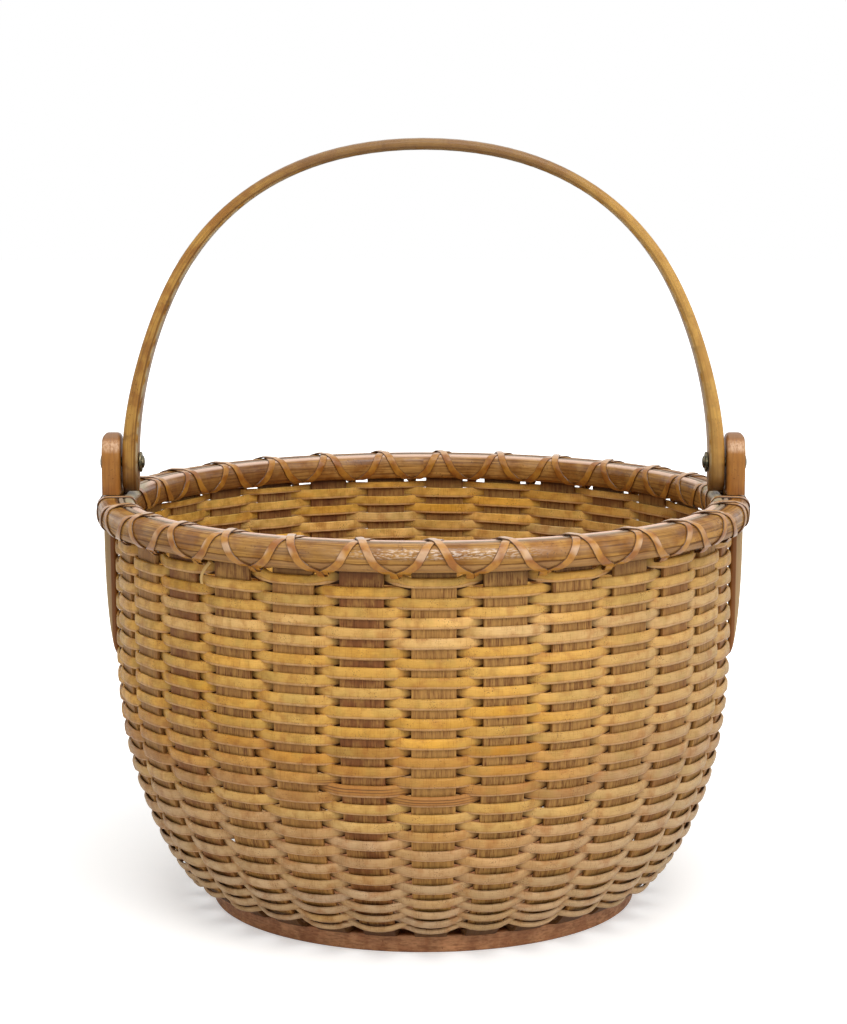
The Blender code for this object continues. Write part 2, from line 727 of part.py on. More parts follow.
def bow_outline():
    """The handle's outline seen from the front, about the pivot's height."""
    line = bow_centre_line()
    line.append(Vector((HANDLE_HALF_SPAN, -HANDLE_TAIL - OVERRUN)))
    outer = []
    inner = []
    for place, point in enumerate(line):
        before = line[max(place - 1, 0)]
        after = line[min(place + 1, len(line) - 1)]
        along = (after - before).normalized() if place else Vector((1, 0))
        risen_share = max(point.y, 0) / HANDLE_RISE
        gained = (HANDLE_TOP_THICKNESS - HANDLE_FOOT_THICKNESS) * risen_share
        half = Vector((-along.y, along.x)) * (HANDLE_FOOT_THICKNESS + gained) / 2
        outer.append(point + half)
        inner.append(point - half)
    right = outer[1:] + inner[:0:-1]
    left = [Vector((-point.x, point.y)) for point in reversed(right)]
    return right + [inner[0]] + left + [outer[0]]


def bow_side_outline():
    """The handle's outline seen from the side: even in width, with round feet."""
    half = HANDLE_WIDTH / 2
    foot_centre = half - HANDLE_TAIL
    outline = []
    for step in range(HANDLE_FOOT_STEPS + 1):
        angle = math.pi * step / HANDLE_FOOT_STEPS
        outline.append((-half * math.cos(angle), foot_centre - half * math.sin(angle)))
    top = HANDLE_RISE + HANDLE_TOP_THICKNESS + OVERRUN
    return outline + [(half, top), (-half, top)]


def make_handle(parts, cutters, wood):
    """The bentwood handle, which swings about X at the rivets."""
    pivot = bpy.data.objects.new("handle_pivot", None)
    parts.objects.link(pivot)
    pivot.location.z = PIVOT_HEIGHT
    reach = HANDLE_WIDTH / 2 + OVERRUN
    span = HANDLE_LEG_OUTER + OVERRUN
    handle = add_object(
        "handle_bow", outline_mesh("handle_bow", bow_outline(), -reach, reach), parts, wood
    )
    side = outline_mesh("handle_side", bow_side_outline(), -span, span, sideways=True)
    side_cutter = add_object("handle_side", side, cutters)
    for piece in (handle, side_cutter):
        piece.parent = pivot
    cut(handle, side_cutter, "INTERSECT")
    soften(handle, HANDLE_EDGE)
    bore = rod_mesh("handle_bore", RIVET_RADIUS + GAP, -span, span, BORE_FACETS)
    cut(handle, add_object("handle_bore", bore, cutters))


def make_rivets(parts, metal):
    """The rivets that carry the handle, each set over a burr on the inside."""
    head_seat = EAR_OUTER + GAP
    burr_outer = HANDLE_LEG_INNER - GAP
    burr_inner = burr_outer - BURR_THICKNESS
    peen = burr_inner - GAP
    across_share, rise_share = RIVET_HEAD_SHARES
    rivet_profile = [
        (0, head_seat + RIVET_HEAD_HEIGHT),
        (RIVET_HEAD_RADIUS * across_share, head_seat + RIVET_HEAD_HEIGHT * rise_share),
        (RIVET_HEAD_RADIUS, head_seat),
        (RIVET_RADIUS, head_seat),
        (RIVET_RADIUS, peen),
        (RIVET_PEEN_RADIUS, peen),
        (RIVET_PEEN_RADIUS * RIVET_PEEN_SHARE, peen - RIVET_PEEN_HEIGHT),
        (0, peen - RIVET_PEEN_HEIGHT),
    ]
    burr_profile = [
        (BURR_RADIUS, burr_outer),
        (BURR_RADIUS, burr_inner),
        (RIVET_RADIUS + GAP, burr_inner),
        (RIVET_RADIUS + GAP, burr_outer),
    ]
    for side_name, angle in EAR_ANGLES.items():
        rivet = turned(f"rivet_{side_name}", rivet_profile, parts, metal, facets=RIVET_FACETS)
        burr = turned(
            f"burr_{side_name}", burr_profile, parts, metal, closed=True, facets=RIVET_FACETS
        )
        for piece in (rivet, burr):
            piece.rotation_euler = (0, math.copysign(math.pi / 2, angle), 0)
            piece.location.z = PIVOT_HEIGHT


def swing_limit():
    """The angle at which the lying handle meets the lashing on the rim."""
    lashing_top = RIM_TOP + GAP + LASHING_STEP + LASHING_THICKNESS
    room = PIVOT_HEIGHT - HANDLE_WIDTH / 2 - GAP - lashing_top
    reach = HANDLE_RISE + HANDLE_TOP_THICKNESS / 2
    return math.pi / 2 + math.asin(room / reach)


def main():
    """Clears the scene and builds the basket."""
    for old in list(bpy.data.objects):
        bpy.data.objects.remove(old)
    parts = bpy.data.collections.new("basket")
    cutters = bpy.data.collections.new("cutters")
    for collection in (parts, cutters):
        bpy.context.scene.collection.children.link(collection)
    base_wood = make_material("base_wood", (0.16, 0.065, 0.03), 0.45)
    stave_wood = make_material("stave_wood", (0.33, 0.21, 0.12), 0.6)
    weave_cane = make_material("weave_cane", (0.58, 0.36, 0.12), 0.45)
    hoop_wood = make_material("hoop_wood", (0.38, 0.2, 0.08), 0.5)
    lashing_cane = make_material("lashing_cane", (0.45, 0.2, 0.055), 0.35)
    rim_cane = make_material("rim_cane", (0.62, 0.42, 0.26), 0.4)
    ear_wood = make_material("ear_wood", (0.38, 0.17, 0.055), 0.45)
    handle_wood = make_material("handle_wood", (0.42, 0.21, 0.065), 0.4)
    rivet_metal = make_material("rivet_metal", (0.12, 0.1, 0.06), 0.45, metallic=1.0)
    make_base(parts, base_wood)
    make_staves(parts, stave_wood)
    make_wall(parts, cutters, weave_cane)
    make_hoops(parts, cutters, hoop_wood)
    make_rim_canes(parts, rim_cane)
    make_lashings(parts, lashing_cane)
    make_ears(parts, cutters, ear_wood)
    make_handle(parts, cutters, handle_wood)
    make_rivets(parts, rivet_metal)
    print(f"handle swings {math.degrees(swing_limit()):.2f} degrees each way")


main()
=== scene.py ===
"""Looks of a round woven basket with a swing handle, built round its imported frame.

Lengths are metres and +Z is up. The basket stands on the origin with its front towards -Y
and its two ears on X. Angles round it are counted from the front towards +X. Across is the
direction over a piece's width, along is the way it runs, and out is away from its middle.
Distances round it are taken at TRAVEL_RADIUS, and a place times LEVEL loses its height.
"""

import json
import logging
import math
from dataclasses import dataclass
from enum import Enum

import bpy
import numpy as np
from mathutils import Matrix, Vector
from mathutils.geometry import interpolate_bezier


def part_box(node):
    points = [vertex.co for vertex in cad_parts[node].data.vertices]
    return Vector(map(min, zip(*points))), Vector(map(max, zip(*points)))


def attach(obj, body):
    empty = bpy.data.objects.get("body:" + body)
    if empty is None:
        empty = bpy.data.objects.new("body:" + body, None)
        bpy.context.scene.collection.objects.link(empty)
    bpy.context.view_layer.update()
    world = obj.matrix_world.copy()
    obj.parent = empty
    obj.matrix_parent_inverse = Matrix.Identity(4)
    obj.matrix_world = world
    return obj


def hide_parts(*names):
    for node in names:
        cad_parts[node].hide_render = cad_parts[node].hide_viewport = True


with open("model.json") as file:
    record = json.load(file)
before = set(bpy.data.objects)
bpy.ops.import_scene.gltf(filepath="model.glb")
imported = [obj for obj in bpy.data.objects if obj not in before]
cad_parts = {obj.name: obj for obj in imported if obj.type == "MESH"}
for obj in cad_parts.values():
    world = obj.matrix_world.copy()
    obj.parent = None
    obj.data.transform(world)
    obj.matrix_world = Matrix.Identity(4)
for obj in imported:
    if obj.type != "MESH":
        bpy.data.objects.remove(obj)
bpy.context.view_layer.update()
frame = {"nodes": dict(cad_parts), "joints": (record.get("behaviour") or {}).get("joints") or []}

LOG = logging.getLogger("basket")
SEED = 29
GAP = 0.0003
WELD = 0.000002
BORE_RADIUS = 0.0019
WALL_THICKNESS = 0.0043
FULL_TURN = 2 * math.pi
SMOOTH_ANGLE = math.radians(42)
TRAVEL_RADIUS = 0.12
LEVEL = (1.0, 1.0, 0.0)
EAR_HEAD_WIDTH = 0.019
EAR_NECK_WIDTH = 0.010
EAR_NECK_THICKNESS = 0.0028
RIBBON_SHARES = (
    (-0.9, -1), (-1, -0.2), (-0.93, 0.5), (-0.5, 0.85), (0, 1),
    (0.5, 0.85), (0.93, 0.5), (1, -0.2), (0.9, -1),
)

Colour = tuple[float, float, float]
Pair = tuple[float, float]
Array = np.ndarray
Material = bpy.types.Material
Socket = bpy.types.NodeSocket
Piece = bpy.types.Object


class Body(Enum):
    """The two bodies that pieces ride on."""

    BASKET = "basket"
    HANDLE = "handle"


class Side(Enum):
    """The two sides that carry an ear, each with its direction along X."""

    RIGHT = 1
    LEFT = -1

    @property
    def word(self) -> str:
        """The side's name as nodes spell it."""
        return self.name.lower()


def corners_of(node: str) -> Array:
    """The corners of a node of the frame, one row each."""
    return np.array([corner.co for corner in frame["nodes"][node].data.vertices])


def reach_of(node: str) -> Pair:
    """The least and the greatest distance of a node's corners from the basket's middle line."""
    corners = corners_of(node)
    spans = np.hypot(corners[:, 0], corners[:, 1])
    return float(spans.min()), float(spans.max())


def around(radius: Array, height: Array, angle: Array) -> Array:
    """Points at a radius and height, at an angle from the front.

    Args:
        radius: Distances from the basket's middle line.
        height: Heights over the floor.
        angle: Angles from the front towards +X.

    Returns:
        The points, with x, y and z in the last axis.
    """
    radius, height, angle = np.broadcast_arrays(radius, height, angle)
    return np.stack([radius * np.sin(angle), -radius * np.cos(angle), height], axis=-1)


def smooth_step(share: Array) -> Array:
    """A share from 0 to 1, eased at both ends."""
    share = np.clip(share, 0, 1)
    return share * share * (3 - 2 * share)


def turn_between(first: float, second: float) -> float:
    """The signed turn from one angle to another, within half a circle each way."""
    return (second - first + math.pi) % FULL_TURN - math.pi


class Measures:
    """Sizes that the pieces share, read from the frame's nodes and its joint."""

    def __init__(self) -> None:
        """Reads the frame."""
        self.stave_count = sum(name.startswith("stave_") for name in frame["nodes"])
        self.pitch = FULL_TURN / self.stave_count
        stave = corners_of("stave_01")
        top = stave[stave[:, 2] > stave[:, 2].max() - GAP].mean(axis=0)
        self.phase = math.atan2(top[0], -top[1])
        self.stave_top = float(stave[:, 2].max())
        self.tongue_bottom = float(stave[:, 2].min())
        self.tongue_end = reach_of("stave_01")[0]
        self.base_radius = reach_of("base_plate")[1]
        self.base_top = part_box("base_plate")[1].z
        self.wall_reach = reach_of("woven_wall")[1]
        self.neck_inner = self.wall_reach + GAP
        hoop_low, hoop_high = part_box("outer_hoop")
        self.rim_bottom, self.rim_top = hoop_low.z, hoop_high.z
        self.wall_radius = self.wall_reach - WALL_THICKNESS / 2
        self.outer_hoop = reach_of("outer_hoop")
        self.inner_hoop = reach_of("inner_hoop")
        self.rim_cane = tuple(corner.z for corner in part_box("rim_cane_front"))
        self.pivot_height = frame["joints"][0]["pos_m"][2]
        self.ear_low, self.ear_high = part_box("ear_right")
        self.bow_low, self.bow_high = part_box("handle_bow")
        self.rivet_low, self.rivet_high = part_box("rivet_right")
        self.burr_low, self.burr_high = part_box("burr_right")
        self.leg_outer = self.bow_high.x


# Modelling steps


def deselect_all() -> None:
    """Deselects every object, so that an operator acts on the new piece alone."""
    if bpy.context.object and bpy.context.object.mode != "OBJECT":
        bpy.ops.object.mode_set(mode="OBJECT")
    bpy.ops.object.select_all(action="DESELECT")


def take(piece: Piece) -> None:
    """Selects one piece and makes it the active one."""
    deselect_all()
    piece.select_set(True)
    bpy.context.view_layer.objects.active = piece


def edit(piece: Piece) -> None:
    """Opens a piece in edit mode with all of it selected."""
    take(piece)
    bpy.ops.object.mode_set(mode="EDIT")
    bpy.ops.mesh.select_all(action="SELECT")


def close_up(piece: Piece) -> None:
    """Leaves edit mode with doubles merged and the faces pointing outwards."""
    bpy.ops.mesh.select_all(action="SELECT")
    bpy.ops.mesh.remove_doubles(threshold=WELD)
    bpy.ops.mesh.normals_make_consistent(inside=False)
    bpy.ops.object.mode_set(mode="OBJECT")
    bpy.ops.object.shade_smooth_by_angle(angle=SMOOTH_ANGLE)


def stain(piece: Piece, colours: Array) -> None:
    """Gives each corner of a piece its colour and a share, as the attribute "stain".

    Args:
        piece: The piece.
        colours: One row of red, green, blue and share for each corner.
    """
    attribute = piece.data.color_attributes.new("stain", "FLOAT_COLOR", "POINT")
    attribute.data.foreach_set("color", colours.astype(np.float32).ravel())


def loft(name: str, rings: Array, across: Array, along: Array, colours: Array | None = None) -> Piece:
    """A closed bar through rings, with its UV map in metres over its width and its length.

    Args:
        name: The piece's name.
        rings: The corners of each ring, as (ring, corner, xyz).
        across: The place over the width of each corner, and of the first one again.
        along: The distance along the piece of each ring.
        colours: The stain of each corner, where it has one, as (ring, corner, colour and share).

    Returns:
        The piece, closed at both ends.
    """
    ring_count, corner_count, _ = rings.shape
    deselect_all()
    bpy.ops.mesh.primitive_grid_add(
        x_subdivisions=corner_count, y_subdivisions=ring_count - 1, size=1, calc_uvs=True
    )
    piece = bpy.context.object
    piece.name = piece.data.name = name
    wrapped = np.concatenate([rings, rings[:, :1]], axis=1)
    piece.data.vertices.foreach_set("co", wrapped.astype(np.float32).ravel())
    owner = np.empty(len(piece.data.loops), dtype=np.int32)
    piece.data.loops.foreach_get("vertex_index", owner)
    row, column = np.divmod(owner, corner_count + 1)
    places = np.stack([np.asarray(across)[column], np.asarray(along)[row]], axis=-1)
    piece.data.uv_layers[0].data.foreach_set("uv", places.astype(np.float32).ravel())
    if colours is not None:
        stain(piece, np.concatenate([colours, colours[:, :1]], axis=1))
    piece.data.update()
    edit(piece)
    bpy.ops.mesh.remove_doubles(threshold=WELD)
    bpy.ops.mesh.fill_holes(sides=corner_count)
    close_up(piece)
    return piece


def turned(name: str, profile: list[Pair], steps: int, closed: bool = False) -> Piece:
    """A profile drawn corner by corner and spun round the basket's middle line.

    Args:
        name: The piece's name.
        profile: The corners as (radius, height).
        steps: The steps of the whole turn.
        closed: Whether the last corner joins the first.

    Returns:
        The piece, with its faces pointing outwards.
    """
    deselect_all()
    bpy.ops.mesh.primitive_plane_add(size=1)
    piece = bpy.context.object
    piece.name = piece.data.name = name
    edit(piece)
    bpy.ops.mesh.merge(type="CENTER")
    radius, height = profile[0]
    bpy.ops.transform.translate(value=(radius, 0, height))
    for before, after in zip(profile, profile[1:]):
        step = (after[0] - before[0], 0, after[1] - before[1])
        bpy.ops.mesh.extrude_region_move(TRANSFORM_OT_translate={"value": step})
    bpy.ops.mesh.select_all(action="SELECT")
    if closed:
        bpy.ops.object.mode_set(mode="OBJECT")
        for place, corner in enumerate(piece.data.vertices):
            corner.select = place in (0, len(profile) - 1)
        bpy.ops.object.mode_set(mode="EDIT")
        bpy.ops.mesh.edge_face_add()
        bpy.ops.mesh.select_all(action="SELECT")
    bpy.ops.mesh.spin(steps=steps, angle=FULL_TURN, center=(0, 0, 0), axis=(0, 0, 1))
    close_up(piece)
    return piece


def apply_modifier(piece: Piece, kind: str, **settings: object) -> None:
    """Adds a modifier to a piece with its settings and applies it."""
    take(piece)
    modifier = piece.modifiers.new(kind.lower(), kind)
    for name, value in settings.items():
        setattr(modifier, name, value)
    bpy.ops.object.modifier_apply(modifier=modifier.name)


def bore(piece: Piece, radius: float, low: float, high: float, height: float) -> None:
    """Bores a piece along X.

    Args:
        piece: The piece.
        radius: The bore's radius.
        low: Where the drill starts along X.
        high: Where it ends.
        height: The bore's height.
    """
    deselect_all()
    bpy.ops.mesh.primitive_cylinder_add(
        vertices=32, radius=radius, depth=high - low,
        location=((low + high) / 2, 0, height), rotation=(0, math.pi / 2, 0),
    )
    drill = bpy.context.object
    apply_modifier(piece, "BOOLEAN", operation="DIFFERENCE", object=drill)
    bpy.data.objects.remove(drill)


def slab_section(half_width: float, half_depth: float, rounding: float, steps: int = 3) -> Array:
    """A rounded rectangle as (across, out) corners.

    Args:
        half_width: Half its size across.
        half_depth: Half its size outwards.
        rounding: The radius of its corners.
        steps: The steps of each corner.

    Returns:
        The corners, counter-clockwise from the lower right.
    """
    rounding = float(min(rounding, half_width * 0.9, half_depth * 0.9))
    corners = []
    for quarter, (across, out) in enumerate(((1, -1), (1, 1), (-1, 1), (-1, -1))):
        middle = Vector((across * (half_width - rounding), out * (half_depth - rounding)))
        for step in range(steps + 1):
            turn = math.pi / 2 * (quarter - 1 + step / steps)
            corners.append(middle + rounding * Vector((math.cos(turn), math.sin(turn))))
    return np.array(corners)


def eased(corners: list[Pair], reaches: list[float], steps: int = 6) -> Array:
    """A closed outline with its corners eased by parabolas.

    Args:
        corners: The outline's corners.
        reaches: How far from each corner its easing may start, at most half a side.
        steps: The steps of each easing.

    Returns:
        The eased outline's points.
    """
    points = np.array(corners, dtype=float)
    outline = []
    for place, (corner, reach) in enumerate(zip(points, reaches)):
        ends = []
        for other in (points[place - 1], points[(place + 1) % len(points)]):
            side = np.linalg.norm(other - corner)
            ends.append(corner + (other - corner) * min(reach / side, 0.5))
        for share in np.linspace(0, 1, steps + 1):
            outline.append(
                (1 - share) ** 2 * ends[0] + 2 * share * (1 - share) * corner + share**2 * ends[1]
            )
    kept = [point for point, after in zip(outline, outline[1:] + outline[:1])
            if np.linalg.norm(point - after) > WELD]
    return np.array(kept)


def girth(section: Array) -> Array:
    """The distance round a section at each corner, and at the first one again."""
    closed = np.concatenate([section, section[:1]])
    steps = np.linalg.norm(np.diff(closed, axis=0), axis=1)
    return np.concatenate([[0], np.cumsum(steps)])


def run_length(points: Array) -> Array:
    """The distance along a line of points."""
    return np.concatenate([[0], np.cumsum(np.linalg.norm(np.diff(points, axis=0), axis=1))])


def ribbon(name: str, line: Array, outward: Array, width: float, thickness: float) -> Piece:
    """A flat strand along a line, slightly domed outside.

    Args:
        name: The piece's name.
        line: The points of its middle line.
        outward: The direction outwards at each of them.
        width: Its size across.
        thickness: Its size outwards.

    Returns:
        The strand, closed at both ends.
    """
    sideways = np.cross(np.gradient(line, axis=0), outward)
    sideways /= np.linalg.norm(sideways, axis=1)[:, None]
    shares = np.array(RIBBON_SHARES)
    flat = line[:, None] + sideways[:, None] * (shares[None, :, :1] * width / 2)
    rings = flat + outward[:, None] * shares[None, :, 1:] * thickness / 2
    across = np.append(shares[:, 0], shares[0, 0]) * width / 2
    return loft(name, rings, across, run_length(line))


# Shader node groups and the drawing of node trees


class Graph:
    """A node tree that is drawn node by node."""

    def __init__(self, tree: bpy.types.NodeTree) -> None:
        """Takes an empty tree."""
        self.tree = tree

    def feed(self, target: Socket, value: object) -> None:
        """Joins a socket to an input, or sets the input's value."""
        if isinstance(value, bpy.types.NodeSocket):
            self.tree.links.new(value, target)
        elif isinstance(value, tuple) and len(value) == 3 and target.type == "RGBA":
            target.default_value = (*value, 1)
        else:
            target.default_value = value

    def add(self, kind: str, *values: object, **settings: object) -> bpy.types.Node:
        """Adds a node.

        Args:
            kind: The node's type, without the words ShaderNode.
            *values: Values or sockets for its first inputs, in their order.
            **settings: The node's own settings, by name.

        Returns:
            The node.
        """
        made = self.tree.nodes.new(f"ShaderNode{kind}")
        made.location = (200 * len(self.tree.nodes), 0)
        for name, value in settings.items():
            setattr(made, name, value)
        for target, value in zip(made.inputs, values):
            self.feed(target, value)
        return made

    def node(self, kind: str, **inputs: object) -> bpy.types.Node:
        """Adds a node with values or sockets for its inputs, by name."""
        made = self.add(kind)
        for name, value in inputs.items():
            self.feed(made.inputs[name], value)
        return made

    def maths(self, operation: str, first: object, second: object = 0.0, clamp: bool = False) -> Socket:
        """The result of a sum on two numbers."""
        return self.add("Math", first, second, operation=operation, use_clamp=clamp).outputs[0]

    def vector(self, operation: str, first: object, second: object = (0.0, 0.0, 0.0)) -> Socket:
        """The result of a sum on two vectors."""
        return self.add("VectorMath", first, second, operation=operation).outputs[0]

    def measure(self, operation: str, first: object, second: object = (0.0, 0.0, 0.0)) -> Socket:
        """The number that a sum on two vectors gives, such as a length."""
        return self.add("VectorMath", first, second, operation=operation).outputs["Value"]

    def mix(self, share: object, first: object, second: object, blend: str = "MIX") -> Socket:
        """Two colours mixed by a share."""
        made = self.add("Mix", share, data_type="RGBA", blend_type=blend)
        self.feed(made.inputs[6], first)
        self.feed(made.inputs[7], second)
        return made.outputs[2]

    def over(self, tone: object, colour: object, *shares: object, blend: str = "MIX") -> Socket:
        """A tone with a colour laid over it by the product of shares."""
        return self.mix(self.times(*shares), tone, colour, blend)

    def ease(
        self, value: object, low: object, high: object,
        start: float = 0.0, end: float = 1.0, shape: str = "SMOOTHSTEP",
    ) -> Socket:
        """A number taken from one range to another.

        Args:
            value: The number's socket.
            low: The value that gives start.
            high: The value that gives end.
            start: The first result.
            end: The last result.
            shape: The way from start to end, smooth unless LINEAR is asked for.

        Returns:
            The result's socket.
        """
        made = self.add("MapRange", value, low, high, start, end, interpolation_type=shape)
        return made.outputs[0]

    def times(self, *factors: object) -> Socket:
        """The product of numbers."""
        product = factors[0]
        for factor in factors[1:]:
            product = self.maths("MULTIPLY", product, factor)
        return product

    def parts(self, vector: Socket) -> tuple[Socket, Socket, Socket]:
        """The three numbers of a vector."""
        return tuple(self.add("SeparateXYZ", vector).outputs)

    def band(self, value: Socket, centre: float, reach: float) -> Socket:
        """1 where a number is at a centre, falling to 0 at a reach from it."""
        away = self.maths("ABSOLUTE", self.maths("SUBTRACT", value, centre))
        return self.ease(away, reach * 0.3, reach, 1.0, 0.0)

    def noise(self, vector: Socket, scale: object, detail: float = 3, roughness: float = 0.5) -> Socket:
        """A noise from 0 to 1 over a vector, with one scale or one for each of its numbers."""
        if isinstance(scale, tuple):
            vector, scale = self.vector("MULTIPLY", vector, scale), 1.0
        made = self.node("TexNoise", Vector=vector, Scale=scale, Detail=detail, Roughness=roughness)
        return made.outputs["Fac"]


def new_group(name: str, inputs: dict[str, tuple[str, object]], outputs: dict[str, str]) -> tuple:
    """An empty node group with its sockets.

    Args:
        name: The group's name.
        inputs: Each input's socket type and first value.
        outputs: Each output's socket type.

    Returns:
        The group, its graph, its input sockets by name and its output node.
    """
    group = bpy.data.node_groups.new(name, "ShaderNodeTree")
    sockets = group.interface
    for label, (kind, value) in inputs.items():
        made = sockets.new_socket(name=label, in_out="INPUT", socket_type=f"NodeSocket{kind}")
        if value is not None:
            made.default_value = value
    for label, kind in outputs.items():
        sockets.new_socket(name=label, in_out="OUTPUT", socket_type=f"NodeSocket{kind}")
    given = group.nodes.new("NodeGroupInput").outputs
    result = group.nodes.new("NodeGroupOutput")
    return group, Graph(group), given, result


def streak_group() -> bpy.types.NodeTree:
    """Fine streaks along a piece: grain, fibres or the lines left by splitting."""
    group, graph, given, result = new_group(
        "streaks",
        {
            "Place": ("Vector", None),
            "Streaks": ("Float", 1500.0),
            "Stretch": ("Float", 25.0),
            "Sharpness": ("Float", 0.5),
            "Level": ("Float", 0.5),
        },
        {"Mask": "Float", "Height": "Float"},
    )
    fine = graph.maths("DIVIDE", given["Streaks"], given["Stretch"])
    scale = graph.add("CombineXYZ", given["Streaks"], fine, given["Streaks"]).outputs[0]
    place = graph.vector("MULTIPLY", given["Place"], scale)
    streaks = graph.noise(place, 1.0, detail=4, roughness=0.62)
    spread = graph.maths("MULTIPLY", graph.maths("SUBTRACT", 1.0, given["Sharpness"]), 0.28)
    low = graph.maths("SUBTRACT", given["Level"], spread)
    high = graph.maths("ADD", given["Level"], graph.maths("ADD", spread, 0.02))
    graph.feed(result.inputs["Mask"], graph.ease(streaks, low, high, shape="LINEAR"))
    graph.feed(result.inputs["Height"], streaks)
    return group


def blotch_group() -> bpy.types.NodeTree:
    """Broad soft blotches, as handling and light leave on old wood."""
    group, graph, given, result = new_group(
        "blotches",
        {
            "Place": ("Vector", None),
            "Size": ("Float", 0.02),
            "Low": ("Float", 0.4),
            "High": ("Float", 0.6),
        },
        {"Mask": "Float"},
    )
    scale = graph.maths("DIVIDE", 1.0, given["Size"])
    clouds = graph.noise(given["Place"], scale, detail=3, roughness=0.55)
    graph.feed(result.inputs["Mask"], graph.ease(clouds, given["Low"], given["High"]))
    return group


def speck_group() -> bpy.types.NodeTree:
    """Scattered small dark specks."""
    group, graph, given, result = new_group(
        "specks",
        {"Place": ("Vector", None), "Size": ("Float", 0.0006), "Share": ("Float", 0.3)},
        {"Mask": "Float"},
    )
    scale = graph.maths("DIVIDE", 1.0, given["Size"])
    dots = graph.noise(given["Place"], scale, detail=1, roughness=0.4)
    fields = graph.noise(given["Place"], graph.maths("MULTIPLY", scale, 0.06), detail=2)
    crowding = graph.maths("MULTIPLY", graph.maths("SUBTRACT", fields, 0.5), 0.6)
    low = graph.maths("SUBTRACT", 0.8, graph.maths("MULTIPLY", given["Share"], 0.25))
    both, high = graph.maths("ADD", dots, crowding), graph.maths("ADD", low, 0.05)
    graph.feed(result.inputs["Mask"], graph.ease(both, low, high, shape="LINEAR"))
    return group


def rim_group() -> bpy.types.NodeTree:
    """Places on a round piece as (height, distance round the basket, radius)."""
    group, graph, given, result = new_group(
        "round_the_basket", {"Place": ("Vector", None)}, {"Place": "Vector"}
    )
    east, back, height = graph.parts(given["Place"])
    angle = graph.maths("ARCTAN2", east, graph.maths("MULTIPLY", back, -1.0))
    travel = graph.maths("MULTIPLY", angle, TRAVEL_RADIUS)
    radius = graph.measure("LENGTH", graph.vector("MULTIPLY", given["Place"], LEVEL))
    graph.feed(result.inputs["Place"], graph.add("CombineXYZ", height, travel, radius).outputs[0])
    return group


class Effect(Enum):
    """The node groups that the finishes share."""

    STREAKS = "streaks"
    BLOTCHES = "blotches"
    SPECKS = "specks"
    RIM = "round_the_basket"

    def group(self) -> bpy.types.NodeTree:
        """The group, built when it is first asked for."""
        makers = {
            Effect.STREAKS: streak_group,
            Effect.BLOTCHES: blotch_group,
            Effect.SPECKS: speck_group,
            Effect.RIM: rim_group,
        }
        return bpy.data.node_groups.get(self.value) or makers[self]()


class Places(Enum):
    """What the grain of a wood runs along."""

    LENGTH = "the piece's own width and length"
    RIM = "the way round the basket"


class Finish(Graph):
    """A material that is drawn from places on the piece to one Principled shader."""

    def __init__(
        self, name: str, roughness: float, coat: float = 0.0, coat_roughness: float = 0.22,
        metallic: float = 0.0, specular: float = 0.2,
    ) -> None:
        """Opens a new material.

        Args:
            name: The material's name.
            roughness: The roughness that a plain surface has.
            coat: The weight of a clear coat.
            coat_roughness: The roughness of that coat.
            metallic: The metallic value.
            specular: The level of reflection under the coat.
        """
        self.material = bpy.data.materials.new(name)
        self.material.use_nodes = True
        super().__init__(self.material.node_tree)
        self.shader = self.tree.nodes["Principled BSDF"]
        for socket, value in (
            ("Roughness", roughness), ("Metallic", metallic), ("Coat Weight", coat),
            ("Coat Roughness", coat_roughness), ("Specular IOR Level", specular),
        ):
            self.shader.inputs[socket].default_value = value

    def on_object(self) -> Socket:
        """Places in the frame, in metres."""
        return self.add("TexCoord").outputs["Object"]

    def facing(self) -> Socket:
        """The direction that the surface faces."""
        return self.add("TexCoord").outputs["Normal"]

    def on_rim(self) -> Socket:
        """Places round the basket."""
        return self.mask(Effect.RIM, Place=self.on_object())

    def on_length(self) -> Socket:
        """Places over the piece's own width and length, in metres."""
        return self.add("UVMap").outputs[0]

    def stained(self) -> tuple[Socket, Socket]:
        """The colour and the share that the piece's corners carry."""
        made = self.add("Attribute", attribute_name="stain")
        return made.outputs["Color"], made.outputs["Alpha"]

    def effect(self, effect: Effect, **inputs: object) -> bpy.types.Node:
        """Places one of the shared groups with its own values."""
        made = self.add("Group", node_tree=effect.group())
        for name, value in inputs.items():
            self.feed(made.inputs[name], value)
        return made

    def mask(self, effect: Effect, **inputs: object) -> Socket:
        """What one of the shared groups gives first, placed with its own values."""
        return self.effect(effect, **inputs).outputs[0]

    def finish(
        self, colour: object, roughness: Socket | None = None,
        height: Socket | None = None, depth: float = 0.0001,
    ) -> Material:
        """Joins the drawn colour, roughness and height to the shader.

        Args:
            colour: The base colour.
            roughness: The roughness, where it changes over the surface.
            height: The height of fine relief, from 0 to 1.
            depth: The depth of that relief.

        Returns:
            The material.
        """
        self.feed(self.shader.inputs["Base Color"], colour)
        if roughness is not None:
            self.feed(self.shader.inputs["Roughness"], roughness)
        if height is not None:
            bump = self.node("Bump", Strength=1.0, Distance=depth, Height=height)
            self.feed(self.shader.inputs["Normal"], bump.outputs[0])
        return self.material


